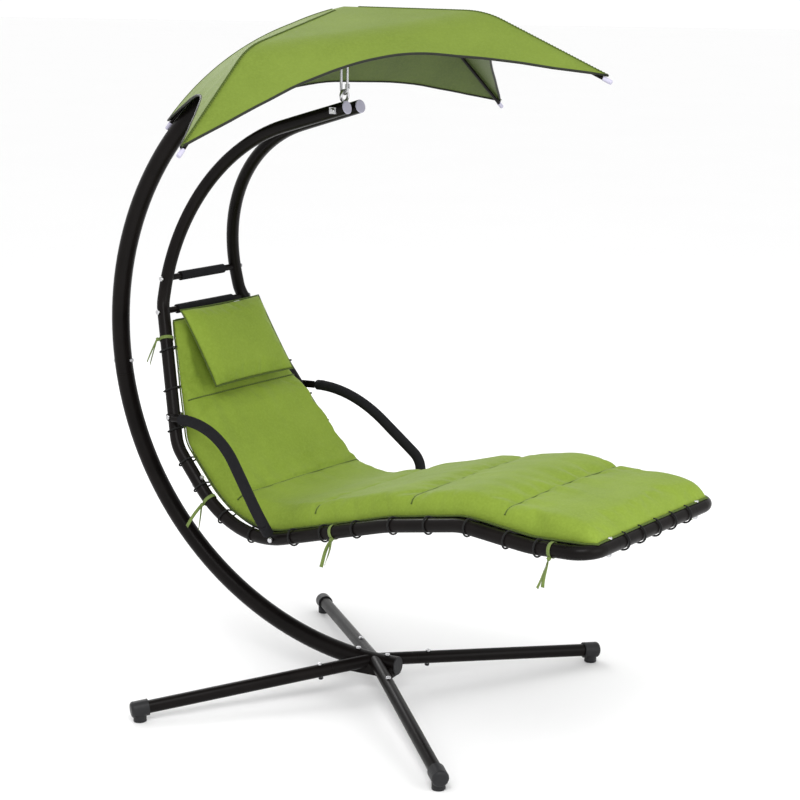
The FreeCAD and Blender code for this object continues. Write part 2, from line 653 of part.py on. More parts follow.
# foot bar with a spigot into each rail
bar_end = V(rail_end.x, rail_end.y + 0.5, rail_end.z)
foot_bar = straight(bar_end, V(bar_end.x, -bar_end.y, bar_end.z), FRAME_R, frame_bore)
bar_spigot = straight(bar_end - V(0, FRAME_SPIGOT_LENGTH, 0), bar_end + V(0, 20, 0),
                      spigot_r, spigot_r - FRAME_WALL)
bar_collar = straight(bar_end, bar_end + V(0, 20, 0), frame_bore, spigot_r - FRAME_WALL)
foot_bar = fused([foot_bar, bar_spigot, bar_collar, mirrored(bar_spigot), mirrored(bar_collar)])
foot_bolt_at = rail_end - V(0, FRAME_SPIGOT_LENGTH * 0.5, 0)
one, own_nut, hole = through_tube(foot_bolt_at, V(0, 0, -1), FRAME_R)
side_bolts.append(one)
side_nuts.append(own_nut)
rail = rail.cut(hole)
foot_bar = foot_bar.cut(hole).cut(mirrored(hole))
parts["foot_bar"] = foot_bar

# hanging end: lower eye between the two tube ends, held by one cross bolt
end_way = (hanger_route[0][0] - hanger_route[1][0]).normalize()
cross_at = hanger_route[0][0] - end_way * (hanger_route[0][0].x / end_way.x)
eye_cross = V(0, 0, cross_at.z)
lower_eye = eye_ring(V(0, 0, LOWER_EYE_Z), V(1, 0, 0))
eye_gap = -cross_at.y - FRAME_R
lower_shank = rod(V(0, 0, LOWER_EYE_Z - EYE_R), eye_cross, EYE_SHANK_R)
barrel = rod(eye_cross - V(0, eye_gap - 0.5, 0), eye_cross + V(0, eye_gap - 0.5, 0), 12.0)
lower_eye = fused([lower_eye, lower_shank, barrel])
hang_seat = V(0, cross_at.y - FRAME_R - WASHER_THICK, cross_at.z)
hang_grip = -2 * hang_seat.y
hang_hole = bolt_hole(hang_seat, V(0, 1, 0), hang_grip)
lower_eye = lower_eye.cut(hang_hole).cut(hanger_solid).cut(mirrored(hanger_solid))
parts["lounger_eye"] = sorted(lower_eye.Solids, key=lambda s: s.Volume)[-1]
hanger = hanger.cut(hang_hole)
washer = Part.makeBox(24.0, 5.0 + WASHER_THICK, 18.0, V(-12.0, hang_seat.y, cross_at.z - 9.0))
washer = washer.cut(hanger_solid).cut(hang_hole)
washer = sorted(washer.Solids, key=lambda s: s.Volume)[-1]
parts["saddle_washers"] = both_sides(washer)
parts["hanger_bolt"] = bolt(hang_seat, V(0, 1, 0), hang_grip)
parts["hanger_bolt_nut"] = nut(hang_seat + V(0, hang_grip, 0), V(0, 1, 0))
plug = end_plug(hanger_route[0][0], end_way, FRAME_R, FRAME_WALL)
parts["hanger_end_plugs"] = both_sides(plug)
parts["hanger_tube_right"] = hanger
parts["hanger_tube_left"] = mirrored(hanger)
parts["seat_rail_right"] = rail
parts["seat_rail_left"] = mirrored(rail)
parts["frame_bolts"] = Part.makeCompound(
    [s for one in side_bolts for s in both_sides(one).Solids])
parts["frame_bolt_nuts"] = Part.makeCompound(
    [s for one in side_nuts for s in both_sides(one).Solids])


# ---------------------------------------------------------------- sling and cushion
foot_way = V(*HANGER_ROUTE[-1][0:3:2], 0) - V(*HANGER_ROUTE[-2][0:3:2], 0)
foot_way = V(foot_way.x, 0, foot_way.y).normalize()
foot_up = V(-foot_way.z, 0, foot_way.x)


def profile_line(first_z, last_x):
    # side view of the lying surface: X, half width of the frame, Z, from head to foot
    line = [p for p in hanger_line if p.z <= first_z and p.x < LAP_X]
    line += [p for p in rail_line if abs(p.y) > foot_half - 8 and p.x < FOOT_CORNER_X]
    while line[-1].x > last_x:
        line.pop()
    end = line[-1]
    return line + [V(last_x, end.y, end.z + (last_x - end.x) * foot_way.z / foot_way.x)]


def normals(line):
    out = []
    for i, p in enumerate(line):
        a = line[max(i - 1, 0)]
        b = line[min(i + 1, len(line) - 1)]
        way = V(b.x - a.x, 0, b.z - a.z).normalize()
        out.append(V(-way.z, 0, way.x))
    return out


def strip_solid(line, inset, lows, highs):
    # closed band between the side tubes: lows and highs are heights above the centre line
    ups = normals(line)
    rows = []
    for p, up, low, high in zip(line, ups, lows, highs):
        half = abs(p.y) - inset
        base = V(p.x, 0, p.z)
        rows.append([base + up * low + V(0, -half, 0), base + up * low + V(0, half, 0),
                     base + up * high + V(0, half, 0), base + up * high + V(0, -half, 0)])
    faces = [polygon(*rows[0]), polygon(*rows[-1])]
    for a, b in zip(rows, rows[1:]):
        faces.append(polygon(a[0], a[1], b[1], b[0]))
        faces.append(polygon(a[3], a[2], b[2], b[3]))
        for i, j in ((0, 3), (1, 2)):
            faces.append(polygon(a[i], a[j], b[j]))
            faces.append(polygon(a[i], b[j], b[i]))
    return solid_from(faces)


def thinned(line, gap):
    kept = [line[0]]
    for p in line[1:-1]:
        if (p - kept[-1]).Length >= gap:
            kept.append(p)
    return kept + [line[-1]]


lying_top = HEAD_BAR_Z - CROSSBAR_SLEEVE_R - SLING_HEAD_GAP
foot_x = HANGER_ROUTE[-1][0]
lying = thinned(profile_line(lying_top, foot_x - SLING_EDGE_GAP), STRIP_STEP)
sling = strip_solid(lying, SLING_EDGE_GAP, [-SLING_THICK / 2] * len(lying),
                    [SLING_THICK / 2] * len(lying))


def lace_loop(p, inward, up):
    # cord loop round the tube at p and through the eyelet in the sling
    wrap = FRAME_R + LACE_R + LACE_GAP
    reach = SLING_EDGE_GAP + EYELET_INSET - LACE_NOSE_R
    lean = math.asin((wrap - LACE_NOSE_R) / reach)
    axis = up.cross(inward * -1).normalize()
    high_way = up * math.cos(lean) + inward * math.sin(lean)
    low_way = up * -math.cos(lean) + inward * math.sin(lean)
    nose = p + inward * reach
    top = p + high_way * wrap
    nose_top = nose + high_way * LACE_NOSE_R
    run = (nose_top - top).normalize()
    sweep = 180 + 2 * math.degrees(lean)
    big = bent(top, run, p, axis, sweep, LACE_R, 0)
    small = bent(nose_top, run, nose, axis * -1, 360 - sweep, LACE_R, 0)
    under = rod(p + low_way * wrap, nose + low_way * LACE_NOSE_R, LACE_R)
    return fused([big, rod(top, nose_top, LACE_R), small, under])


def eyelet_hole(p, inward, up):
    eyelet = p + inward * (SLING_EDGE_GAP + EYELET_INSET)
    return rod(eyelet - up * EYELET_DEPTH, eyelet + up * EYELET_DEPTH, EYELET_R)


laces = []
lying_ups = normals(lying)
travelled = LACE_PITCH * 0.5
laced = []
for i in range(1, len(lying) - 1):
    travelled += (lying[i] - lying[i - 1]).Length
    near_bolt = min((lying[i] - b).Length for b in (top_tube, low_tube, joint_at))
    if travelled < LACE_PITCH or near_bolt < LACE_BOLT_GAP:
        continue
    travelled = 0.0
    laced.append(lying[i])
    loop = lace_loop(lying[i], V(0, 1, 0), lying_ups[i])
    laces += both_sides(loop).Solids
    hole = eyelet_hole(lying[i], V(0, 1, 0), lying_ups[i])
    sling = sling.cut(hole).cut(mirrored(hole))
for i in range(FOOT_LACES):
    across = (i - (FOOT_LACES - 1) / 2) * FOOT_LACE_PITCH
    at = V(foot_x, across, HANGER_ROUTE[-1][2])
    laces.append(lace_loop(at, foot_way * -1, foot_up))
    sling = sling.cut(eyelet_hole(at, foot_way * -1, foot_up))
parts["sling"] = sling
parts["sling_laces"] = Part.makeCompound(laces)



def tie(i):
    # tape round the tube, knotted outside it, with two loose ends
    at = lying[i]
    along = (lying[i + 1] - lying[i - 1]).normalize()
    ring_r = FRAME_R + TIE_GAP
    ring = Part.makeCylinder(ring_r + TIE_THICK, TIE_WIDTH, at - along * (TIE_WIDTH / 2), along)
    ring = ring.cut(Part.makeCylinder(ring_r, TIE_WIDTH, at - along * (TIE_WIDTH / 2), along))
    out = V(0, -1, 0) - UP
    out = (out - along * out.dot(along)).normalize()
    knot_at = at + out * (ring_r + TIE_THICK + TIE_KNOT_R * 0.8)
    pieces = [ring, Part.makeSphere(TIE_KNOT_R, knot_at)]
    for side in (-1, 1):
        way = (V(0, -TIE_LEAN, -1) + along * (side * TIE_SPREAD)).normalize()
        pieces.append(rod(knot_at, knot_at + way * TIE_TAIL, TIE_TAIL_R))
    return fused(pieces)


ties = []
blocked = laced + [top_tube, low_tube, joint_at]
open_places = [i for i in range(1, len(lying) - 1)
               if min((lying[i] - b).Length for b in blocked) > TIE_CLEAR]
for spot in TIE_SPOTS:
    nearest = min(open_places, key=lambda i: abs(lying[i].x - spot))
    ties += both_sides(tie(nearest)).Solids
parts["cushion_ties"] = Part.makeCompound(ties)

head_low = SLING_THICK / 2 + LACE_R * 2 + CUSHION_LIFT
seat_low = FRAME_R + LACE_GAP + LACE_R * 2 + CUSHION_TUBE_GAP
cushion_line = [p for p in profile_line(HEAD_BAR_Z - CUSHION_HEAD_GAP, foot_x + CUSHION_OVER_FOOT)]
cushion_line = thinned(cushion_line, STRIP_STEP)
cushion_lows = []
cushion_tops = []
for p in cushion_line:
    share = 0.0
    if p.x < LAP_X:
        share = min(max((p.z - CUSHION_THIN_Z) / CUSHION_THINNING, 0), 1)
    cushion_lows.append(seat_low + (head_low - seat_low) * share)
    cushion_tops.append(cushion_lows[-1] + CUSHION_THICK
                        + (CUSHION_HEAD_THICK - CUSHION_THICK) * share)
parts["cushion"] = strip_solid(cushion_line, CUSHION_EDGE_GAP, cushion_lows, cushion_tops)

# pillow: rounded block lying on the upper back
back_line = [p for p in hanger_line if 800 < p.z < HEAD_BAR_Z - 20]
head_point = back_line[0]
back_way = V(back_line[-1].x - head_point.x, 0, back_line[-1].z - head_point.z).normalize()
back_up = V(-back_way.z, 0, back_way.x)
pillow = Part.makeBox(PILLOW_LENGTH, 2 * PILLOW_HALF_WIDTH, PILLOW_THICK)
pillow = pillow.makeFillet(PILLOW_ROUND, pillow.Edges)
pillow.translate(V(0, -PILLOW_HALF_WIDTH, 0))
pillow.rotate(V(0, 0, 0), V(0, 1, 0), -PILLOW_TILT_DEG)
placing = FreeCAD.Placement(V(0, 0, 0), FreeCAD.Rotation(back_way, V(0, 1, 0), back_up, "ZYX"))
pillow = pillow.transformGeometry(placing.toMatrix())
lift = head_low + CUSHION_HEAD_THICK + PILLOW_GAP
pillow.translate(V(head_point.x, 0, head_point.z) + back_up * lift)
parts["pillow"] = pillow

# ---------------------------------------------------------------- canopy
back_rib_radius = ARC_RADIUS + ARC_TUBE_R + BACK_RIB_GAP + RIB_R
back_tip = arc_point(BACK_TIP_DEG, back_rib_radius)


def rib_route(name):
    kink = V(FRONT_KINK_X, 0, FRONT_KINK_Z)
    tip = V(FRONT_TIP_X, 0, FRONT_TIP_Z)
    if name != "front":
        side = -1 if name == "right" else 1
        kink = V(SIDE_KINK_X, side * SIDE_KINK_Y, SIDE_KINK_Z)
        tip = V(SIDE_TIP_X, side * SIDE_TIP_Y, SIDE_TIP_Z)
    root = V(0, 0, RIB_ROOT_Z)
    return [(root + (kink - root).normalize() * RIB_START, 0.0), (kink, RIB_BEND_R), (tip, 0.0)]


back_root_deg = 180 - math.degrees(math.acos((ARC_CENTRE_X + RIB_START) / back_rib_radius))
ribs = {name: pipe(rib_route(name), RIB_R) for name in ("front", "right", "left")}
ribs["back"] = arc_pipe(BACK_TIP_DEG, back_root_deg, RIB_R, 0, back_rib_radius)
tips = {}
for name in ("front", "right", "left"):
    route = rib_route(name)
    way = (route[-1][0] - route[-2][0]).normalize()
    tips[name] = (route[-1][0], way)
tips["back"] = (back_tip, arc_tangent(BACK_TIP_DEG) * -1)

hub_low = arc_point(arch_at_hook).z - 6.0
canopy_hub = Part.makeCylinder(CANOPY_HUB_R, CANOPY_HUB_TOP_Z - hub_low, V(0, 0, hub_low))
canopy_hub = canopy_hub.makeFillet(5.0, [outer_rim(canopy_hub, V(0, 0, CANOPY_HUB_TOP_Z))])
sockets = []
for name in ("front", "right", "left"):
    route = rib_route(name)
    way = (route[1][0] - route[0][0]).normalize()
    sockets.append(rod(route[0][0], route[0][0] + way * (CANOPY_SOCKET_LENGTH + 10), RIB_R + SOCKET_WALL))
canopy_hub = canopy_hub.multiFuse(sockets)
tip_clear = arc_pipe(ARC_TIP_DEG + 8, ARC_TIP_DEG - 6, ARC_TUBE_R + FIT, 0)
canopy_hub = canopy_hub.cut(tip_clear)
for name, rib in ribs.items():
    canopy_hub = canopy_hub.cut(rib)
nut_well = Part.makeCylinder(eye_nut_r + 3, shank_top + 3 - (eye_seat_z - 3.5),
                             V(0, 0, eye_seat_z - 3.5))
canopy_hub = canopy_hub.cut(nut_well).cut(eye_clear)
parts["canopy_hub"] = sorted(canopy_hub.Solids, key=lambda s: s.Volume)[-1]
for name, rib in ribs.items():
    parts["canopy_rib_" + name] = rib.cut(nut_well)
tip_caps = []
for name, (point, way) in tips.items():
    cap = Part.makeCylinder(RIB_TIP_R, RIB_TIP_LENGTH, point - way * (RIB_TIP_LENGTH * 0.5), way)
    cap = cap.makeFillet(RIB_TIP_R * 0.5, [outer_rim(cap, point + way * (RIB_TIP_LENGTH * 0.5))])
    tip_caps.append(cap.cut(ribs[name]))
parts["canopy_rib_tips"] = Part.makeCompound([s for one in tip_caps for s in one.Solids])


def rib_curve(name, share):
    # point on the rib's control line: share 0 at the middle of the hub, 1 at the tip
    if name == "back":
        middle_deg = 180 - math.degrees(math.acos(ARC_CENTRE_X / back_rib_radius))
        lift = (1 - min(share * 4, 1)) * (RIB_ROOT_Z - arc_point(middle_deg, back_rib_radius).z)
        return arc_point(middle_deg + (BACK_TIP_DEG - middle_deg) * share, back_rib_radius) + UP * lift
    route = rib_route(name)
    start = V(0, 0, RIB_ROOT_Z)
    kink = route[1][0]
    tip = route[2][0]
    if share < 0.5:
        return start + (kink - start) * (share / 0.5)
    return kink + (tip - kink) * ((share - 0.5) / 0.5)


def cloth_point(first, second, share, across, height):
    droop = FRONT_DROOP if "front" in (first, second) else BACK_DROOP
    cut_back = 1 - droop * 4 * across * (1 - across) * share
    a = rib_curve(first, share * cut_back)
    b = rib_curve(second, share * cut_back)
    return a + (b - a) * across + UP * height


def cloth_side(height):
    around = ("front", "left", "back", "right")
    columns = []
    for k in range(4):
        for j in range(CANOPY_COLUMNS):
            columns.append([cloth_point(around[k], around[(k + 1) % 4], i / CANOPY_ROWS,
                                        j / CANOPY_COLUMNS, height)
                            for i in range(1, CANOPY_ROWS + 1)])
    return columns


cloth_low = RIB_R + SOCKET_WALL + CANOPY_GAP
top_columns = cloth_side(cloth_low + CANOPY_THICK)
low_columns = cloth_side(cloth_low)
cloth_faces = []
crown = V(0, 0, RIB_ROOT_Z)
for columns, height in ((top_columns, cloth_low + CANOPY_THICK), (low_columns, cloth_low)):
    peak = crown + UP * height
    for a, b in zip(columns, columns[1:] + columns[:1]):
        cloth_faces.append(polygon(peak, a[0], b[0]))
        for i in range(CANOPY_ROWS - 1):
            cloth_faces.append(polygon(a[i], a[i + 1], b[i + 1]))
            cloth_faces.append(polygon(a[i], b[i + 1], b[i]))
for (a, b), (c, d) in zip(zip(top_columns, top_columns[1:] + top_columns[:1]),
                          zip(low_columns, low_columns[1:] + low_columns[:1])):
    cloth_faces.append(polygon(a[-1], b[-1], d[-1]))
    cloth_faces.append(polygon(a[-1], d[-1], c[-1]))
parts["canopy_cloth"] = solid_from(cloth_faces)
parts["arch_upper_tube"] = upper

# ---------------------------------------------------------------- turn, centre, write
TURNED = ("swivel_eye", "swivel_eye_nut", "snap_link_body", "snap_link_gate", "snap_link_gate_pin",
          "lounger_eye", "hanger_bolt", "hanger_bolt_nut", "saddle_washers", "hanger_end_plugs",
          "hanger_tube_right", "hanger_tube_left", "seat_rail_right", "seat_rail_left",
          "frame_bolts", "frame_bolt_nuts", "foot_bar", "shoulder_bar", "shoulder_bar_sleeve",
          "head_bar", "head_bar_sleeve", "crossbar_screws", "armrest_right", "armrest_left",
          "armrest_sleeve_right", "armrest_sleeve_left", "armrest_bolts",
          "sling", "sling_laces", "cushion", "cushion_ties", "pillow")
for name in TURNED:
    parts[name].rotate(V(0, 0, 0), UP, LOUNGER_TURN_DEG)

whole = Part.makeCompound(list(parts.values())).optimalBoundingBox(False)
SHIFT = V(-(whole.XMin + whole.XMax) / 2, -(whole.YMin + whole.YMax) / 2, 0)
os.makedirs("parts", exist_ok=True)
for name, shape in parts.items():
    shape.translate(SHIFT)
    shape.exportStep("parts/" + name + ".step")
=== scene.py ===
import math

import bmesh
import bpy
from mathutils import Matrix, Vector, noise


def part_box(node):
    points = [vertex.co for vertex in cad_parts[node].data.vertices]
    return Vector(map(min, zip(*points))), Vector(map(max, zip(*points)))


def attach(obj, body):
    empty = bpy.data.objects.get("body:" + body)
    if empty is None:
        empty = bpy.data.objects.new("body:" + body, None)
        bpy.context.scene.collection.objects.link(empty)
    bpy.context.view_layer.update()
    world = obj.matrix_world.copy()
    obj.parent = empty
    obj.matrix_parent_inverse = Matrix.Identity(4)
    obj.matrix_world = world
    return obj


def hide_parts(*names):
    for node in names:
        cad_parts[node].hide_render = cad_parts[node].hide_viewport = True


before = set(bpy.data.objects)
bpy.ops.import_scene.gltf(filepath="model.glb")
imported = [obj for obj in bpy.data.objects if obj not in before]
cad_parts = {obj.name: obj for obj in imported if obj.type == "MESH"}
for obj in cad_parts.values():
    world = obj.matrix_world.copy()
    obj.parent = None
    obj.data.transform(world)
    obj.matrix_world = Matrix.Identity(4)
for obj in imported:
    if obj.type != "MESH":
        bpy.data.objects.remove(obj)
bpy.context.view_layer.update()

# ---------------------------------------------------------------- sizes, in metres
LOUNGER_TURN = math.radians(-11.0)     # the lounger rests turned on its hook
CAMERA_AT = (2.4815, -4.572, 2.113)
CAMERA_AROUND = math.radians(28.06)
CAMERA_DOWN = math.radians(13.15)
CAMERA_LENS = 83.43

# the side tube: X from the hook, half width, Z, bend radius
SIDE_ROUTE = [
    (0.033, 0.029, 1.731, 0.0),
    (-0.584, 0.056, 1.562, 0.530),
    (-0.584, 0.166, 1.124, 0.095),
    (-0.400, 0.300, 0.740, 0.150),
    (-0.168, 0.305, 0.484, 0.320),
    (0.398, 0.305, 0.650, 0.600),
    (0.650, 0.305, 0.700, 0.200),
    (0.870, 0.305, 0.686, 0.400),
    (1.048, 0.305, 0.699, 0.0),
]
TUBE_R = 0.019
HEAD_BAR_Z = 1.104
LAP_X = -0.2
STEP = 0.009
SEAT_LOW, HEAD_LOW = 0.0266, 0.018
SEAT_THICK, HEAD_THICK = 0.060, 0.018
THIN_Z, THINNING = 0.790, 0.110
CUSHION_EDGE_GAP = 0.019
SLING_EDGE_GAP = 0.046
SEAM_X = (-0.452, -0.205, 0.130, 0.470, 0.765)   # where the cushion is sewn through

CUSHION_HEAD_GAP, CUSHION_LAST_X = 0.032, 1.053
CUSHION_ACROSS = 56
CUSHION_EDGE_LIFT = 0.76          # the edge seam, as a share of the height of the cushion's underside
CUSHION_CROWN, CUSHION_SWELL = 0.92, 0.06
SECTION_HALF = 0.075              # a filled section is full this far from a seam
SEAM_FILL, SECTION_FILL = 0.83, 0.17   # fullness beside a seam, and how much more between seams
FOOT_TAPER, FOOT_THINNER = 0.17, 0.5
SIDE_ROUND, END_ROUND, CORNER_CUT = 0.040, 0.045, 0.024
PUCKER_FADE, PUCKER, CALF_PUCKER = 0.060, 0.0085, 0.0150
BACK_FOLD, BACK_FOLD_PITCH, BACK_FOLD_FROM, BACK_FOLD_TO = 0.0022, 0.062, -0.42, -0.22
PIPING_R, PILLOW_PIPING_R, WELT_R = 0.0026, 0.0024, 0.0022
STITCH, STITCH_PITCH, STITCH_R = 0.0050, 0.0080, 0.0010

PILLOW_LONG, PILLOW_HALF, PILLOW_THICK = 0.256, 0.168, 0.052
PILLOW_TILT = math.radians(8.0)
PILLOW_GAP = 0.005
PILLOW_N, PILLOW_M = 34, 46

SLING_ACROSS = 40
SLING_SAG, SLING_THICK, SLING_HEM_R = 0.006, 0.0016, 0.0022
SLING_HEAD_GAP, SLING_LAST_X = 0.028, 1.002

TIE_WIDTH, TIE_THICK, TIE_GAP, TIE_TAIL = 0.010, 0.0009, 0.0010, 0.070
TIE_LEAN, TIE_SPREAD, TIE_KNOT_R = 0.6, 0.2, 0.0060
TAIL_POINTS, LOOP_POINTS, KNOT_POINTS = 14, 32, 14

RIB_ROOT_Z = 1.992
RIB_OUT = 0.0115
CLOTH_THICK = 0.002
FRONT_RIB = ((0.434, 0.0, 1.984), (0.790, 0.0, 1.824))
SIDE_RIB = ((0.038, 0.560, 1.902), (0.063, 0.900, 1.680))
BACK_RIB_R = 0.9695
ARCH_CENTRE = (0.128, 1.020)
BACK_TIP_DEG = 139.0
FRONT_DROOP, BACK_DROOP = 0.32, 0.20
CANOPY_ROWS, CANOPY_COLUMNS = 56, 36
CANOPY_SAG, CANOPY_RIPPLE, CANOPY_PULL = 0.010, 0.0050, 0.0055
CANOPY_THICK, CANOPY_BINDING_R, CANOPY_SEAM_R = 0.0012, 0.0034, 0.0016
RIB_BEND, RIB_SOFT = 0.5, 0.07    # where a rib bends, and how gently, as shares of its length
CLOTH_FRAMES = 20
FLOOR_SIZE = 60.0
WORLD_LIGHT = 1.04

hook_low, hook_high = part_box("swivel_eye_nut")
HOOK_X = (hook_low[0] + hook_high[0]) / 2


def lounger_at(x, y, z):
    """A point of the lounger, given straight from the hook line, where it rests turned."""
    c, s = math.cos(LOUNGER_TURN), math.sin(LOUNGER_TURN)
    return Vector((HOOK_X + x * c - y * s, x * s + y * c, z))


def stand_at(x, y, z):
    return Vector((HOOK_X + x, y, z))


# ---------------------------------------------------------------- materials
class Nodes:
    """Short calls for a material's node tree."""

    def __init__(self, name):
        self.material = bpy.data.materials.new(name)
        self.material.use_nodes = True
        self.tree = self.material.node_tree
        self.shader = self.tree.nodes["Principled BSDF"]
        self.coords = self.tree.nodes.new("ShaderNodeTexCoord").outputs["Object"]

    def add(self, kind, inputs=(), **settings):
        node = self.tree.nodes.new(kind)
        for key, value in settings.items():
            setattr(node, key, value)
        for key, value in dict(inputs).items():
            if isinstance(value, bpy.types.NodeSocket):
                self.tree.links.new(value, node.inputs[key])
            else:
                node.inputs[key].default_value = value
        return node

    def set(self, **inputs):
        names = {"color": "Base Color", "rough": "Roughness", "metal": "Metallic", "normal": "Normal",
                 "coat": "Coat Weight", "coat_rough": "Coat Roughness", "sheen": "Sheen Weight",
                 "sheen_rough": "Sheen Roughness", "ior": "IOR"}
        for key, value in inputs.items():
            socket = self.shader.inputs[names[key]]
            if isinstance(value, bpy.types.NodeSocket):
                self.tree.links.new(value, socket)
            else:
                socket.default_value = value

    def noise(self, scale, detail=4.0, rough=0.55, vector=None):
        node = self.add("ShaderNodeTexNoise", {"Vector": vector or self.coords, "Scale": scale,
                                               "Detail": detail, "Roughness": rough})
        return node.outputs["Fac"]

    def mix(self, factor, a, b):
        node = self.add("ShaderNodeMix", data_type="RGBA")
        for key, value in (("Factor", factor), (6, a), (7, b)):
            socket = node.inputs[key if isinstance(key, int) else 0]
            if isinstance(value, bpy.types.NodeSocket):
                self.tree.links.new(value, socket)
            else:
                socket.default_value = value
        return node.outputs[2]

    def remap(self, value, low, high, new_low, new_high):
        node = self.add("ShaderNodeMapRange", {"Value": value, "From Min": low, "From Max": high,
                                               "To Min": new_low, "To Max": new_high})
        return node.outputs["Result"]

    def math(self, operation, a, b=0.0):
        node = self.add("ShaderNodeMath", {0: a, 1: b}, operation=operation)
        return node.outputs[0]

    def bump(self, height, strength, distance, normal=None):
        inputs = {"Height": height, "Strength": strength, "Distance": distance}
        if normal is not None:
            inputs["Normal"] = normal
        return self.add("ShaderNodeBump", inputs).outputs["Normal"]

    def scaled(self, x, y, z):
        node = self.add("ShaderNodeMapping", {"Vector": self.coords, "Scale": (x, y, z)})
        return node.outputs["Vector"]


def painted_steel():
    n = Nodes("black_powder_coat")
    wear = n.noise(9.0)
    grain = n.noise(900.0, 2.0)
    color = n.mix(n.remap(wear, 0.35, 0.7, 0.0, 1.0),
                  (0.0045, 0.0036, 0.0034, 1), (0.0075, 0.0060, 0.0056, 1))
    n.set(color=color, rough=n.remap(wear, 0.3, 0.7, 0.26, 0.38), metal=0.0,
          coat=0.02, coat_rough=0.15, ior=1.17, normal=n.bump(grain, 0.10, 0.0006))
    return n.material


def zinc():
    n = Nodes("bright_zinc")
    brushed = n.noise(60.0, 3.0, 0.6, n.scaled(1.0, 1.0, 30.0))
    color = n.mix(brushed, (0.46, 0.46, 0.47, 1), (0.66, 0.66, 0.68, 1))
    n.set(color=color, metal=1.0, rough=n.remap(brushed, 0.3, 0.7, 0.20, 0.38),
          normal=n.bump(brushed, 0.2, 0.0003))
    return n.material


def moulded(name, color, dark, rough, grain_scale=1400.0):
    n = Nodes(name)
    tone = n.noise(35.0)
    grain = n.noise(grain_scale, 2.0)
    n.set(color=n.mix(tone, color, dark), ior=1.3,
          rough=n.remap(grain, 0.3, 0.7, rough - 0.05, rough + 0.08),
          normal=n.bump(grain, 0.18, 0.0005))
    return n.material


def foam():
    n = Nodes("black_foam_grip")
    cells = n.add("ShaderNodeTexVoronoi", {"Vector": n.coords, "Scale": 520.0}).outputs["Distance"]
    tone = n.noise(40.0)
    n.set(color=n.mix(tone, (0.008, 0.008, 0.009, 1), (0.014, 0.014, 0.016, 1)), rough=0.85, ior=1.2,
          normal=n.bump(cells, 0.35, 0.0008))
    return n.material


def braid():
    n = Nodes("black_braided_cord")
    wave = n.add("ShaderNodeTexWave", {"Vector": n.coords, "Scale": 260.0, "Distortion": 2.0},
                 bands_direction="DIAGONAL").outputs["Fac"]
    n.set(color=n.mix(wave, (0.006, 0.006, 0.006, 1), (0.014, 0.014, 0.014, 1)),
          rough=0.75, sheen=0.05, ior=1.25, normal=n.bump(wave, 0.5, 0.0006))
    return n.material


def woven(name, color, dark, light, scale=1150.0, sheen=0.06, rough=0.72):
    """Plain weave: warp and weft waves crossed, soft cloudy tone, fine fuzz."""
    n = Nodes(name)
    waves = []
    for direction in ("X", "Y", "Z"):
        waves.append(n.add("ShaderNodeTexWave", {"Vector": n.coords, "Scale": scale / 6.283,
                                                 "Distortion": 0.4, "Detail": 1.0},
                           bands_direction=direction).outputs["Fac"])
    weave = n.math("MULTIPLY", n.math("ADD", waves[0], waves[1]), n.math("ADD", waves[2], 0.5))
    cloudy = n.noise(5.5, 5.0, 0.6)
    slub = n.noise(140.0, 3.0, 0.6)
    base = n.mix(n.remap(cloudy, 0.35, 0.68, 0.0, 1.0), dark, color)
    base = n.mix(n.remap(slub, 0.4, 0.75, 0.0, 0.45), base, light)
    soft = n.bump(n.noise(38.0, 4.0, 0.6), 0.14, 0.006)
    n.set(color=base, rough=rough, sheen=sheen, sheen_rough=0.4, ior=1.3,
          normal=n.bump(weave, 0.22, 0.0005, soft))
    return n.material


def mesh_cloth():
    n = Nodes("black_sling_mesh")
    threads = {"Vector": n.coords, "Scale": 60.0}
    a, b = (n.add("ShaderNodeTexWave", threads, bands_direction=way).outputs["Fac"] for way in "XY")
    net = n.math("MULTIPLY", a, b)
    n.set(color=n.mix(net, (0.006, 0.007, 0.006, 1), (0.028, 0.033, 0.03, 1)), rough=0.65, sheen=0.15,
          normal=n.bump(net, 0.5, 0.0012))
    return n.material


GREEN = (0.205, 0.290, 0.031, 1)
GREEN_DARK = (0.170, 0.245, 0.024, 1)
GREEN_LIGHT = (0.245, 0.340, 0.044, 1)
STEEL = painted_steel()
ZINC = zinc()
BLACK_PLASTIC = moulded("black_moulded", (0.012, 0.012, 0.013, 1), (0.022, 0.022, 0.024, 1), 0.42)
PALE_PLASTIC = moulded("pale_moulded", (0.50, 0.48, 0.60, 1), (0.42, 0.41, 0.52, 1), 0.30)
FOAM = foam()
CORD = braid()
CLOTH = woven("green_polyester", GREEN, GREEN_DARK, GREEN_LIGHT)
CANOPY_CLOTH = woven("green_canopy_polyester", (0.150, 0.212, 0.026, 1), (0.128, 0.184, 0.020, 1),
                     (0.178, 0.248, 0.034, 1), sheen=0.03)
# Darker copy of the canopy green for the down-facing faces: painted shade of the canopy's underside.
CANOPY_UNDERSIDE_SHADE = woven("canopy_underside_painted_shade", (0.088, 0.125, 0.026, 1), (0.068, 0.098, 0.022, 1),
               (0.110, 0.150, 0.034, 1), sheen=0.05, rough=0.5)
# Darker copy of the cloth green for the piping, seam welts and canopy seams: painted shade of the dark seam
# lines.
SEAM_SHADE_THREAD = woven("thread_with_painted_seam_shade", (0.070, 0.105, 0.016, 1), (0.055, 0.085, 0.013, 1),
               (0.09, 0.13, 0.02, 1), 2600.0)
TAPE = woven("green_tape", (0.150, 0.205, 0.050, 1), (0.115, 0.165, 0.040, 1),
             (0.2, 0.27, 0.08, 1), 2200.0)
PIPING = moulded("dark_binding", (0.012, 0.014, 0.010, 1), (0.022, 0.024, 0.016, 1), 0.6)
MESH = mesh_cloth()

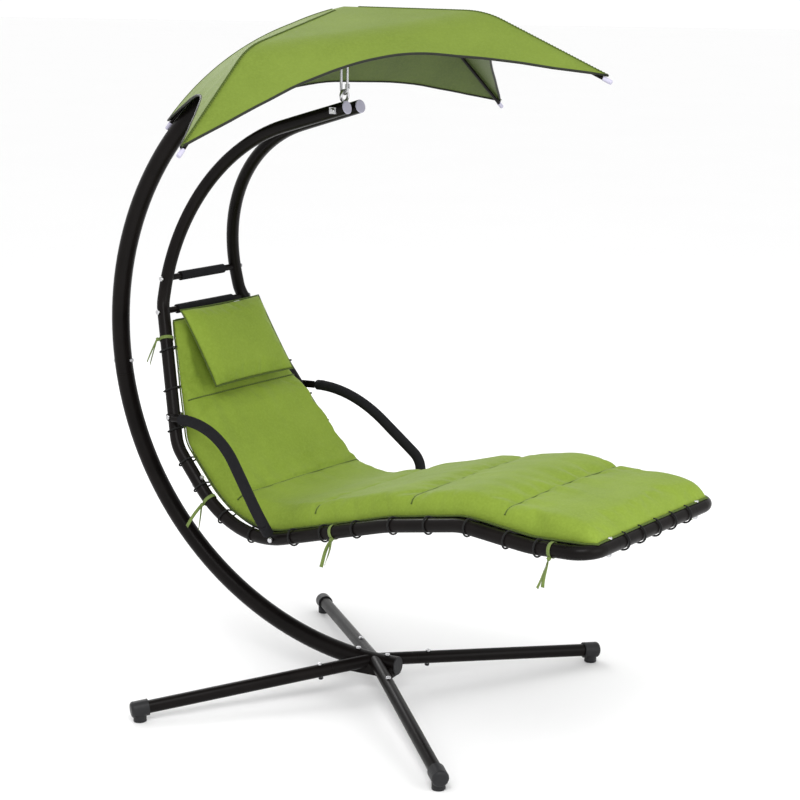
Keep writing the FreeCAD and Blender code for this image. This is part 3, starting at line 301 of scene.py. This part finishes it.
PALE_NODES = ("hanger_end_plugs", "canopy_rib_tips")
ZINC_WORDS = ("bolt", "nut", "screw", "washer", "snap_link", "eye")
for name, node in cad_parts.items():
    finish = STEEL
    if name in PALE_NODES:
        finish = PALE_PLASTIC
    elif name == "sling_laces":
        finish = CORD
    elif "sleeve" in name:
        finish = FOAM
    elif "cap" in name or "plug" in name or name in ("canopy_hub", "leg_bolt_nuts"):
        finish = BLACK_PLASTIC
    elif any(word in name for word in ZINC_WORDS):
        finish = ZINC
    node.data.materials.clear()
    node.data.materials.append(finish)


# ---------------------------------------------------------------- shared geometry
def rounded(route):
    """The dense centre line of a bent tube: straight runs with an arc at each corner."""
    corners = [Vector(p[:3]) for p in route]
    out = [corners[0].copy()]
    for i in range(1, len(route) - 1):
        before = (corners[i - 1] - corners[i]).normalized()
        after = (corners[i + 1] - corners[i]).normalized()
        half = before.angle(after) / 2
        radius = route[i][3]
        cut = radius / math.tan(half)
        middle = corners[i] + (before + after).normalized() * (radius / math.sin(half))
        a = corners[i] + before * cut - middle
        b = corners[i] + after * cut - middle
        turn = a.angle(b)
        steps = max(2, int(turn * radius / STEP))
        for k in range(steps + 1):
            t = k / steps
            point = (a * math.sin((1 - t) * turn) + b * math.sin(t * turn)) / math.sin(turn)
            out.append(middle + point)
    out.append(corners[-1].copy())
    return out


def evenly(points, step):
    """The same line with points at an even pitch."""
    lengths = [0.0]
    for a, b in zip(points, points[1:]):
        lengths.append(lengths[-1] + (b - a).length)
    count = max(2, round(lengths[-1] / step))
    out = []
    j = 0
    for i in range(count + 1):
        want = lengths[-1] * i / count
        while j < len(points) - 2 and lengths[j + 1] < want:
            j += 1
        span = max(lengths[j + 1] - lengths[j], 1e-9)
        out.append(points[j].lerp(points[j + 1], (want - lengths[j]) / span))
    return out


SIDE_LINE = evenly(rounded(SIDE_ROUTE), STEP / 2)


def lying_line(top_z, last_x):
    """Side view of the lying surface from head to foot: (X, half width, Z) at an even pitch."""
    points = [p for p in SIDE_LINE if p.z <= top_z]
    end = points[-1]
    way = (points[-1] - points[-6]).normalized()
    if last_x > end.x:
        points.append(end + way * ((last_x - end.x) / way.x))
    points = [p for p in points if p.x <= last_x + 1e-6]
    return evenly(points, STEP)


def profile_ups(line):
    ups = []
    for i in range(len(line)):
        a, b = line[max(i - 2, 0)], line[min(i + 2, len(line) - 1)]
        way = Vector((b.x - a.x, 0, b.z - a.z)).normalized()
        ups.append(Vector((-way.z, 0, way.x)))
    return ups


def mesh_object(name, points, faces, material, shade=True):
    mesh = bpy.data.meshes.new(name)
    mesh.from_pydata([tuple(p) for p in points], [], faces)
    mesh.update()
    obj = bpy.data.objects.new(name, mesh)
    bpy.context.scene.collection.objects.link(obj)
    mesh.materials.append(material)
    if shade:
        for polygon in mesh.polygons:
            polygon.use_smooth = True
    return obj


def tube_object(name, lines, radius, material, closed=False, sides=8):
    """Round piping or cord along each line of points."""
    points, faces = [], []
    for line in lines:
        count = len(line)
        first = len(points)
        side = None
        for i, p in enumerate(line):
            a = line[i - 1] if (i or closed) else line[i]
            b = line[(i + 1) % count] if (i < count - 1 or closed) else line[i]
            way = (b - a).normalized()
            side = way.orthogonal() if side is None else (side - way * side.dot(way))
            side.normalize()
            up = way.cross(side)
            for k in range(sides):
                t = 2 * math.pi * k / sides
                points.append(p + (side * math.cos(t) + up * math.sin(t)) * radius)
        for i in range(count if closed else count - 1):
            j = (i + 1) % count
            for k in range(sides):
                m = (k + 1) % sides
                faces.append((first + i * sides + k, first + i * sides + m,
                              first + j * sides + m, first + j * sides + k))
        if not closed:
            faces.append(tuple(first + k for k in reversed(range(sides))))
            faces.append(tuple(first + (count - 1) * sides + k for k in range(sides)))
    return mesh_object(name, points, faces, material)


def stitches(name, lines, ups, length, pitch, radius, material):
    """Sewn thread along each line: one short raised stitch after another."""
    pieces = []
    for line, up in zip(lines, ups):
        dense = evenly(line, pitch)
        for a, b in zip(dense, dense[1:]):
            way = (b - a).normalized()
            middle = (a + b) / 2
            pieces.append([middle - way * length / 2 - up * radius * 0.8,
                           middle - way * length / 4 + up * radius * 0.3,
                           middle + way * length / 4 + up * radius * 0.3,
                           middle + way * length / 2 - up * radius * 0.8])
    return tube_object(name, pieces, radius, material, sides=5)


def clean_up(obj):
    bm = bmesh.new()
    bm.from_mesh(obj.data)
    bmesh.ops.remove_doubles(bm, verts=bm.verts, dist=1e-6)
    bmesh.ops.recalc_face_normals(bm, faces=bm.faces)
    bm.to_mesh(obj.data)
    bm.free()


def use_modifier(obj, kind, **settings):
    modifier = obj.modifiers.new(kind.lower(), kind)
    for key, value in settings.items():
        setattr(modifier, key, value)
    bpy.context.view_layer.objects.active = obj
    obj.select_set(True)
    bpy.ops.object.modifier_apply(modifier=modifier.name)
    obj.select_set(False)


def puffed(obj, held, pressure, cap, slack):
    """Cloth simulation of a filled cover: held weighs the sewn points, cap is how far one may move."""
    group = obj.vertex_groups.new(name="sewn")
    for index, weight in held.items():
        group.add([index], weight, "REPLACE")
    before = [v.co.copy() for v in obj.data.vertices]
    cloth = obj.modifiers.new("cover", "CLOTH")
    s = cloth.settings
    s.quality = 5
    s.mass = 0.25
    s.use_pressure = True
    s.uniform_pressure_force = pressure
    s.shrink_min = -slack
    s.tension_stiffness = 18
    s.compression_stiffness = 18
    s.bending_stiffness = 0.35
    s.effector_weights.gravity = 0
    s.vertex_group_mass = "sewn"
    s.pin_stiffness = 1.0
    cloth.collision_settings.use_collision = False
    cloth.point_cache.frame_end = CLOTH_FRAMES
    scene = bpy.context.scene
    for number in range(1, CLOTH_FRAMES + 1):
        scene.frame_set(number)
    shaped = obj.evaluated_get(bpy.context.evaluated_depsgraph_get())
    after = [v.co.copy() for v in shaped.data.vertices]
    obj.modifiers.remove(cloth)
    obj.vertex_groups.clear()
    scene.frame_set(1)
    for vertex, a, b in zip(obj.data.vertices, before, after):
        move = b - a
        if move.length > cap:
            move *= cap / move.length
        vertex.co = a + move


# ---------------------------------------------------------------- cushion
def section_share(x):
    """0 on a seam and 1 in the middle of a filled section."""
    gaps = [abs(x - seam) for seam in SEAM_X]
    return min(min(gaps) / SECTION_HALF, 1.0)


def pucker(x, y):
    """Small folds that run away from the seams."""
    rise = 0.0
    for k, seam in enumerate(SEAM_X):
        gap = x - seam
        fade = math.exp(-abs(gap) / PUCKER_FADE)
        wave = noise.noise(Vector((gap * 6.0 + y * 3.0, y * 25.0, 3.7 * k)))
        rise += wave * fade * (CALF_PUCKER if k == 4 else PUCKER) * min(abs(gap) / 0.02, 1.0)
    rise += 0.0045 * noise.noise(Vector((x * 7.0, y * 5.0, 1.3)))
    if BACK_FOLD_FROM < x < BACK_FOLD_TO:
        turn = (x - BACK_FOLD_FROM) * 2 * math.pi / BACK_FOLD_PITCH + 0.8 * math.sin(y * 9.0)
        rise += BACK_FOLD * (1 - abs(y) / 0.30) * math.sin(turn)
    return rise


cushion_line = lying_line(HEAD_BAR_Z - CUSHION_HEAD_GAP, CUSHION_LAST_X)
cushion_ups = profile_ups(cushion_line)


def cushion_heights(p):
    share = 0.0
    if p.x < LAP_X:
        share = min(max((p.z - THIN_Z) / THINNING, 0.0), 1.0)
    low = SEAT_LOW + (HEAD_LOW - SEAT_LOW) * share
    thick = SEAT_THICK + (HEAD_THICK - SEAT_THICK) * share
    return low, thick


cushion_points, cushion_faces, cushion_held = [], [], {}
rows = len(cushion_line)


def cushion_point(i, j, top):
    p, up = cushion_line[i], cushion_ups[i]
    low, thick = cushion_heights(p)
    v = 2 * j / CUSHION_ACROSS - 1
    end_gap = min(i, rows - 1 - i) * STEP
    end_share = min(end_gap / END_ROUND, 1.0)
    corner = (1 - end_share) ** 2 * CORNER_CUT
    half = abs(p.y) - CUSHION_EDGE_GAP
    half -= corner * (0.6 if i > rows / 2 else 0.15)
    half -= 0.004 * (0.5 + noise.noise(Vector((p.x * 9.0, 5.0 * (1 if v > 0 else -1), 0.0))))
    side_gap = (1 - abs(v)) * half
    side_share = min(side_gap / SIDE_ROUND, 1.0)
    crown = math.sqrt(max(1 - (1 - side_share) ** 2, 0.0))
    crown *= math.sqrt(max(1 - (1 - end_share) ** 2, 0.0))
    fill = SEAM_FILL + SECTION_FILL * section_share(p.x) ** 0.6
    foot_gap = min((rows - 1 - i) * STEP / FOOT_TAPER, 1.0)
    fill *= 1 - FOOT_THINNER * (1 - foot_gap) ** 2
    seam_height = low * CUSHION_EDGE_LIFT
    if top:
        height = seam_height + thick * CUSHION_CROWN * crown * fill
        height += pucker(p.x, v * half) * crown
        height += thick * CUSHION_SWELL * crown * (1 - v * v)
    else:
        height = seam_height - thick * 0.10 * crown * (0.7 + 0.3 * section_share(p.x))
    return Vector((p.x, 0, p.z)) + up * height + Vector((0, v * half, 0))


grid = {}
for top in (True, False):
    for i in range(rows):
        for j in range(CUSHION_ACROSS + 1):
            border = i in (0, rows - 1) or j in (0, CUSHION_ACROSS)
            if not top and border:
                grid[i, j, False] = grid[i, j, True]
                continue
            grid[i, j, top] = len(cushion_points)
            point = cushion_point(i, j, top)
            near_seam = min(abs(cushion_line[i].x - seam) for seam in SEAM_X)
            if near_seam < STEP * 0.55 or (not top and not border):
                cushion_held[len(cushion_points)] = 1.0
            elif border:
                cushion_held[len(cushion_points)] = 0.9
            cushion_points.append(lounger_at(point.x, point.y, point.z))
for i in range(rows - 1):
    for j in range(CUSHION_ACROSS):
        a, b, c, d = ((i, j), (i + 1, j), (i + 1, j + 1), (i, j + 1))
        cushion_faces.append([grid[(*q, True)] for q in (a, b, c, d)])
        cushion_faces.append([grid[(*q, False)] for q in (d, c, b, a)])
cushion = mesh_object("lounger_cushion", cushion_points, cushion_faces, CLOTH)
puffed(cushion, cushion_held, 2.2, 0.006, 0.03)
edge_line = [cushion.data.vertices[grid[i, 0, True]].co.copy() for i in range(rows)]
edge_line += [cushion.data.vertices[grid[rows - 1, j, True]].co.copy() for j in range(1, CUSHION_ACROSS)]
edge_line += [cushion.data.vertices[grid[i, CUSHION_ACROSS, True]].co.copy() for i in reversed(range(rows))]
edge_line += [cushion.data.vertices[grid[0, j, True]].co.copy() for j in reversed(range(1, CUSHION_ACROSS))]
seam_lines, seam_ups = [], []
for seam in SEAM_X:
    i = min(range(rows), key=lambda k: abs(cushion_line[k].x - seam))
    seam_lines.append([cushion.data.vertices[grid[i, j, True]].co.copy() for j in range(1, CUSHION_ACROSS)])
    up = cushion_ups[i]
    tip = lounger_at(up.x, 0, up.z) - lounger_at(0, 0, 0)
    seam_ups.append(tip.normalized())
use_modifier(cushion, "SUBSURF", levels=1, render_levels=1)
# The piping and seam welts take the darker seam green: painted shade along the cushion's edge and seams.
cushion_piping = tube_object("cushion_piping", [edge_line], PIPING_R, SEAM_SHADE_THREAD, closed=True)


def raised(lines, ups, height):
    return [[p + up * height for p in line] for line, up in zip(lines, ups)]


cushion_seams = tube_object("cushion_seam_welts", raised(seam_lines, seam_ups, 0.0004), WELT_R, SEAM_SHADE_THREAD)
cushion_stitching = stitches("cushion_stitching", raised(seam_lines, seam_ups, 0.0019), seam_ups,
                             STITCH, STITCH_PITCH, STITCH_R, TAPE)
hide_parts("cushion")
for piece in (cushion, cushion_piping, cushion_seams, cushion_stitching):
    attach(piece, "lounger")

# ---------------------------------------------------------------- pillow
back_part = [p for p in SIDE_LINE if 0.800 < p.z < HEAD_BAR_Z - 0.020 and p.x < LAP_X]
head_point = back_part[0]
back_way = Vector((back_part[-1].x - head_point.x, 0, back_part[-1].z - head_point.z)).normalized()
back_up = Vector((-back_way.z, 0, back_way.x))
pillow_way = back_way * math.cos(PILLOW_TILT) + back_up * math.sin(PILLOW_TILT)
pillow_up = Vector((-pillow_way.z, 0, pillow_way.x))
pillow_start = Vector((head_point.x, 0, head_point.z)) + back_up * (HEAD_LOW + HEAD_THICK + PILLOW_GAP)


def pillow_point(i, j, top):
    u, v = 2 * i / PILLOW_N - 1, 2 * j / PILLOW_M - 1
    pull = 0.010
    along = PILLOW_LONG / 2 * u * (1 - pull * 2.2 * (1 - v * v) * abs(u))
    across = PILLOW_HALF * v * (1 - pull * 2.0 * (1 - u * u) * abs(v))
    crown = ((1 - u ** 4) * (1 - v ** 4)) ** 0.5
    near = min(1 - abs(u), (1 - abs(v)) * 1.3)
    wave = noise.noise(Vector((u * 6.0, v * 8.0, 2.0 if top else 5.0)))
    fold = 0.0032 * wave * math.exp(-near / 0.35) * crown
    height = PILLOW_THICK / 2 + (1 if top else -0.85) * (PILLOW_THICK * 0.44 * crown) + fold
    height += 0.002 * noise.noise(Vector((u * 2.1, v * 2.4, 9.0))) * crown
    point = pillow_start + pillow_way * (PILLOW_LONG / 2 + along)
    return point + pillow_up * height + Vector((0, across, 0))


pillow_points, pillow_faces, pillow_held, cells = [], [], {}, {}
for top in (True, False):
    for i in range(PILLOW_N + 1):
        for j in range(PILLOW_M + 1):
            border = i in (0, PILLOW_N) or j in (0, PILLOW_M)
            if not top and border:
                cells[i, j, False] = cells[i, j, True]
                continue
            cells[i, j, top] = len(pillow_points)
            if border:
                pillow_held[len(pillow_points)] = 0.85
            p = pillow_point(i, j, top)
            pillow_points.append(lounger_at(p.x, p.y, p.z))
for i in range(PILLOW_N):
    for j in range(PILLOW_M):
        q = ((i, j), (i + 1, j), (i + 1, j + 1), (i, j + 1))
        pillow_faces.append([cells[(*c, True)] for c in q])
        pillow_faces.append([cells[(*c, False)] for c in reversed(q)])
pillow = mesh_object("head_pillow", pillow_points, pillow_faces, CLOTH)
puffed(pillow, pillow_held, 2.5, 0.006, 0.02)
ring = [(i, 0) for i in range(PILLOW_N + 1)] + [(PILLOW_N, j) for j in range(1, PILLOW_M)]
ring += [(i, PILLOW_M) for i in reversed(range(PILLOW_N + 1))]
ring += [(0, j) for j in reversed(range(1, PILLOW_M))]
pillow_edge = [pillow.data.vertices[cells[(*c, True)]].co.copy() for c in ring]
use_modifier(pillow, "SUBSURF", levels=1, render_levels=1)
pillow_piping = tube_object("pillow_piping", [pillow_edge], PILLOW_PIPING_R, SEAM_SHADE_THREAD, closed=True)
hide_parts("pillow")
for piece in (pillow, pillow_piping):
    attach(piece, "lounger")

# ---------------------------------------------------------------- sling
sling_line = lying_line(HEAD_BAR_Z - SLING_HEAD_GAP, SLING_LAST_X)
sling_ups = profile_ups(sling_line)
sling_points, sling_faces = [], []
for i, (p, up) in enumerate(zip(sling_line, sling_ups)):
    half = abs(p.y) - SLING_EDGE_GAP
    for j in range(SLING_ACROSS + 1):
        v = 2 * j / SLING_ACROSS - 1
        sag = SLING_SAG * (1 - v * v) + 0.0012 * noise.noise(Vector((p.x * 14, v * 6, 0)))
        q = Vector((p.x, v * half, p.z)) - up * sag
        sling_points.append(lounger_at(q.x, q.y, q.z))
W = SLING_ACROSS + 1
for i in range(len(sling_line) - 1):
    for j in range(SLING_ACROSS):
        sling_faces.append((i * W + j, (i + 1) * W + j, (i + 1) * W + j + 1, i * W + j + 1))
sling = mesh_object("sling_cloth", sling_points, sling_faces, MESH)
use_modifier(sling, "SOLIDIFY", thickness=SLING_THICK, offset=0.0)
sling_edges = [[Vector(sling_points[i * W]) for i in range(len(sling_line))],
               [Vector(sling_points[i * W + SLING_ACROSS]) for i in range(len(sling_line))],
               [Vector(sling_points[j]) for j in range(W)],
               [Vector(sling_points[(len(sling_line) - 1) * W + j]) for j in range(W)]]
sling_hem = tube_object("sling_hem", sling_edges, SLING_HEM_R, MESH)
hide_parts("sling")
for piece in (sling, sling_hem):
    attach(piece, "lounger")

# ---------------------------------------------------------------- ties


def rest(point):
    """A point of the resting lounger, given back straight from the hook line."""
    c, s = math.cos(LOUNGER_TURN), math.sin(LOUNGER_TURN)
    x, y = point.x - HOOK_X, point.y
    return Vector((x * c + y * s, -x * s + y * c, point.z))


def loose_parts(node):
    """The middle of each separate solid in a CAD node."""
    mesh = node.data
    parent = list(range(len(mesh.vertices)))

    def find(k):
        while parent[k] != k:
            parent[k] = parent[parent[k]]
            k = parent[k]
        return k

    seen = {}
    for vertex in mesh.vertices:
        key = tuple(round(c, 5) for c in vertex.co)
        parent[vertex.index] = find(seen.setdefault(key, vertex.index))
    for edge in mesh.edges:
        parent[find(edge.vertices[0])] = find(edge.vertices[1])
    groups = {}
    for k in range(len(mesh.vertices)):
        groups.setdefault(find(k), []).append(node.matrix_world @ mesh.vertices[k].co)
    return [g for g in groups.values() if len(g) > 8]


def ribbon(name, path, ways, width, material):
    points, faces = [], []
    for p, way in zip(path, ways):
        points += [p - way * width / 2, p, p + way * width / 2]
    for i in range(len(path) - 1):
        for k in range(2):
            faces.append((3 * i + k, 3 * i + k + 1, 3 * i + 4 + k, 3 * i + 3 + k))
    return mesh_object(name, points, faces, material)


def knot(name, at, radius, material):
    """Pulled-tight knot: a lump wrapped by two turns of tape."""
    lines = []
    for k, tilt in enumerate((0.3, 1.5, 2.5)):
        turn = Matrix.Rotation(tilt, 3, Vector((0.3, 0.8, 0.5)).normalized())
        lines.append([at + turn @ Vector((math.cos(t / KNOT_POINTS * 2 * math.pi) * radius * 0.62,
                                          math.sin(t / KNOT_POINTS * 2 * math.pi) * radius * 0.55,
                                          math.sin(t / KNOT_POINTS * 4 * math.pi + k) * radius * 0.22))
                      for t in range(KNOT_POINTS)])
    return tube_object(name, lines, radius * 0.42, material, closed=True, sides=8)


tie_number = 0
tie_groups = loose_parts(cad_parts["cushion_ties"])
for group in tie_groups:
    straight = [rest(p) for p in group]
    high = max(p.z for p in straight)
    ring = [p for p in straight if p.z > high - 0.012]
    middle = sum(ring, Vector()) / len(ring)
    side = -1 if middle.y < 0 else 1
    nearest = min(range(2, len(SIDE_LINE) - 2),
                  key=lambda k: (SIDE_LINE[k] - Vector((middle.x, abs(middle.y), high - TUBE_R))).length)
    at = SIDE_LINE[nearest].copy()
    along = (SIDE_LINE[nearest + 2] - SIDE_LINE[nearest - 2]).normalized()
    at.y, along.y = side * at.y, side * along.y
    out = Vector((0, side, -1))
    out = (out - along * out.dot(along)).normalized()
    across = along.cross(out)
    ring_r = TUBE_R + TIE_GAP
    knot_at = at + out * (ring_r + TIE_KNOT_R)
    path, ways = [], []
    tails = []
    for turn in (-1, 1):
        spread = turn * TIE_SPREAD * (1 + 0.5 * (tie_number % 3))
        way = (Vector((0, side * TIE_LEAN, -1)) + along * spread).normalized()
        tail, tail_ways = [], []
        for k in range(TAIL_POINTS + 1):
            t = k / TAIL_POINTS
            reach = TIE_TAIL * t * (0.80 + 0.2 * ((tie_number + turn) % 2))
            curl = across * (0.010 * turn * math.sin(t * 2.6 + 0.5 * tie_number) * t)
            droop = Vector((0, 0, -0.006 * t * t))
            tail.append(knot_at + out * 0.002 + way * reach + curl + droop)
            twist = 0.9 * t * turn + 0.4 * tie_number
            tail_ways.append((along * math.cos(twist) + across * math.sin(twist)).normalized())
        tails.append((tail, tail_ways))
    path += list(reversed(tails[0][0]))
    ways += list(reversed(tails[0][1]))
    for k in range(LOOP_POINTS + 1):
        t = 2 * math.pi * k / LOOP_POINTS
        r = ring_r + TIE_THICK
        path.append(at + (out * math.cos(t) + across * math.sin(t)) * r)
        ways.append(along)
    path += tails[1][0]
    ways += tails[1][1]
    for k in range(1, len(ways)):
        if ways[k].dot(ways[k - 1]) < 0:
            ways[k] = -ways[k]
    path = [lounger_at(*p) for p in path]
    ways = [lounger_at(*w) - lounger_at(0, 0, 0) for w in ways]
    tape = ribbon(f"cushion_tie_{tie_number + 1}", path, ways, TIE_WIDTH, TAPE)
    use_modifier(tape, "SOLIDIFY", thickness=TIE_THICK, offset=0.0)
    lump = knot(f"cushion_tie_knot_{tie_number + 1}", lounger_at(*knot_at), TIE_KNOT_R, TAPE)
    if tie_number == 0:
        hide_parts("cushion_ties")
    for piece in (tape, lump):
        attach(piece, "lounger")
    tie_number += 1

# ---------------------------------------------------------------- canopy
back_root_deg = 180 - math.degrees(math.acos(ARCH_CENTRE[0] / BACK_RIB_R))


def back_point(degrees):
    t = math.radians(degrees)
    return Vector((ARCH_CENTRE[0] + BACK_RIB_R * math.cos(t), 0,
                   ARCH_CENTRE[1] + BACK_RIB_R * math.sin(t)))


def rib_point(name, share):
    crown = Vector((0, 0, RIB_ROOT_Z))
    if name == "back":
        lift = (1 - min(share * 4, 1)) * (RIB_ROOT_Z - back_point(back_root_deg).z)
        return back_point(back_root_deg + (BACK_TIP_DEG - back_root_deg) * share) + Vector((0, 0, lift))
    kink, tip = (Vector(p) for p in (FRONT_RIB if name == "front" else SIDE_RIB))
    if name == "right":
        kink.y, tip.y = -kink.y, -tip.y
    if abs(share - RIB_BEND) < RIB_SOFT:
        t = (share - RIB_BEND + RIB_SOFT) / (2 * RIB_SOFT)
        a = crown.lerp(kink, (RIB_BEND - RIB_SOFT) / RIB_BEND)
        b = kink.lerp(tip, RIB_SOFT / (1 - RIB_BEND))
        return a * (1 - t) ** 2 + kink * 2 * t * (1 - t) + b * t * t
    if share < RIB_BEND:
        return crown.lerp(kink, share / RIB_BEND)
    return kink.lerp(tip, (share - RIB_BEND) / (1 - RIB_BEND))


def canopy_point(first, second, share, across):
    droop = FRONT_DROOP if "front" in (first, second) else BACK_DROOP
    cut_back = 1 - droop * 4 * across * (1 - across) * share
    a, b = rib_point(first, share * cut_back), rib_point(second, share * cut_back)
    point = a + (b - a) * across + Vector((0, 0, RIB_OUT + CLOTH_THICK))
    between = 4 * across * (1 - across)
    sag = -CANOPY_SAG * between * math.sin(math.pi * min(share, 1.0)) * share
    ripple = CANOPY_RIPPLE * noise.noise(Vector((point.x * 6, point.y * 6, 2.0))) * between * share
    near_rib = min(across, 1 - across)
    pull = CANOPY_PULL * math.sin(near_rib * 60.0) * math.exp(-near_rib * 9.0)
    pull = pull * max(share - 0.35, 0.0) * between
    return point + Vector((0, 0, sag + ripple + pull))


AROUND = ("front", "left", "back", "right")
columns = []
for k in range(4):
    for j in range(CANOPY_COLUMNS):
        columns.append([canopy_point(AROUND[k], AROUND[(k + 1) % 4], i / CANOPY_ROWS, j / CANOPY_COLUMNS)
                        for i in range(1, CANOPY_ROWS + 1)])
canopy_points = [stand_at(0, 0, RIB_ROOT_Z + RIB_OUT + CLOTH_THICK)]
for column in columns:
    canopy_points += [stand_at(*p) for p in column]
canopy_faces = []
count = len(columns)
for a in range(count):
    b = (a + 1) % count
    canopy_faces.append((0, 1 + a * CANOPY_ROWS, 1 + b * CANOPY_ROWS))
    for i in range(CANOPY_ROWS - 1):
        canopy_faces.append((1 + a * CANOPY_ROWS + i, 1 + a * CANOPY_ROWS + i + 1,
                             1 + b * CANOPY_ROWS + i + 1, 1 + b * CANOPY_ROWS + i))
canopy = mesh_object("canopy_cover", canopy_points, canopy_faces, CANOPY_CLOTH)
clean_up(canopy)
hem = [stand_at(*column[-1]) for column in columns]
use_modifier(canopy, "SOLIDIFY", thickness=CANOPY_THICK, offset=0.0)
canopy.data.materials.append(CANOPY_UNDERSIDE_SHADE)
# Down-facing faces take the darker green: painted shade on the canopy's underside.
for polygon in canopy.data.polygons:
    polygon.material_index = 1 if polygon.normal.z < 0 else 0
canopy_piping = tube_object("canopy_piping", [hem], CANOPY_BINDING_R, PIPING, closed=True)
rib_lines = []
for k in range(4):
    rib_lines.append([stand_at(*p) + Vector((0, 0, CANOPY_THICK)) for p in columns[k * CANOPY_COLUMNS][2:]])
canopy_seams = tube_object("canopy_panel_seams", rib_lines, CANOPY_SEAM_R, SEAM_SHADE_THREAD)
beside = (Vector((0, 0.005, 0.0005)), Vector((0.005, 0, 0.0005)))
canopy_stitching = stitches("canopy_stitching",
                            [[p + beside[k % 2] for p in line] for k, line in enumerate(rib_lines)],
                            [Vector((0, 0, 1))] * 4, 0.005, 0.009, STITCH_R, SEAM_SHADE_THREAD)


def rib_length(rib):
    kink, tip = (Vector(p) for p in rib)
    return (kink - Vector((0, 0, RIB_ROOT_Z))).length + (tip - kink).length


canopy_long = rib_length(FRONT_RIB)
canopy_long += BACK_RIB_R * math.radians(BACK_TIP_DEG - back_root_deg)
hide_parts("canopy_cloth")
for piece in (canopy, canopy_piping, canopy_seams, canopy_stitching):
    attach(piece, "stand")

# ---------------------------------------------------------------- floor, light and camera
floor_mesh = bpy.data.meshes.new("studio_floor")
floor_corners = [(x * FLOOR_SIZE, y * FLOOR_SIZE, 0) for x, y in ((-1, -1), (1, -1), (1, 1), (-1, 1))]
floor_mesh.from_pydata(floor_corners, [], [(0, 1, 2, 3)])
floor = bpy.data.objects.new("studio_floor", floor_mesh)
bpy.context.scene.collection.objects.link(floor)
paper = Nodes("studio_paper")
paper.set(color=paper.mix(paper.noise(0.7), (0.93, 0.93, 0.93, 1), (0.95, 0.95, 0.95, 1)), rough=0.9)
floor_mesh.materials.append(paper.material)

world = bpy.data.worlds.new("studio")
bpy.context.scene.world = world
world.use_nodes = True
world.node_tree.nodes["Background"].inputs["Color"].default_value = (1, 1, 1, 1)
world.node_tree.nodes["Background"].inputs["Strength"].default_value = WORLD_LIGHT


def area_light(name, at, aim, size, power):
    lamp = bpy.data.lights.new(name, "AREA")
    lamp.shape = "RECTANGLE"
    lamp.size, lamp.size_y = size
    lamp.energy = power
    obj = bpy.data.objects.new(name, lamp)
    bpy.context.scene.collection.objects.link(obj)
    obj.location = at
    obj.rotation_euler = (Vector(aim) - Vector(at)).to_track_quat("-Z", "Y").to_euler()


area_light("key", (1.6, -3.2, 4.6), (0, 0, 0.8), (2.6, 2.6), 120)
area_light("fill", (4.2, -1.0, 2.2), (0, 0, 0.9), (2.2, 2.6), 40)
area_light("rim", (-3.0, 2.6, 3.0), (0, 0, 1.0), (1.4, 2.4), 50)

lens = bpy.data.cameras.new("camera")
lens.sensor_width = 36.0
lens.lens = CAMERA_LENS
lens.clip_end = 200.0
camera = bpy.data.objects.new("camera", lens)
bpy.context.scene.collection.objects.link(camera)
camera.location = CAMERA_AT
camera.rotation_euler = (math.radians(90) - CAMERA_DOWN, 0, CAMERA_AROUND)
bpy.context.scene.camera = camera
bpy.context.scene.view_settings.view_transform = "Standard"
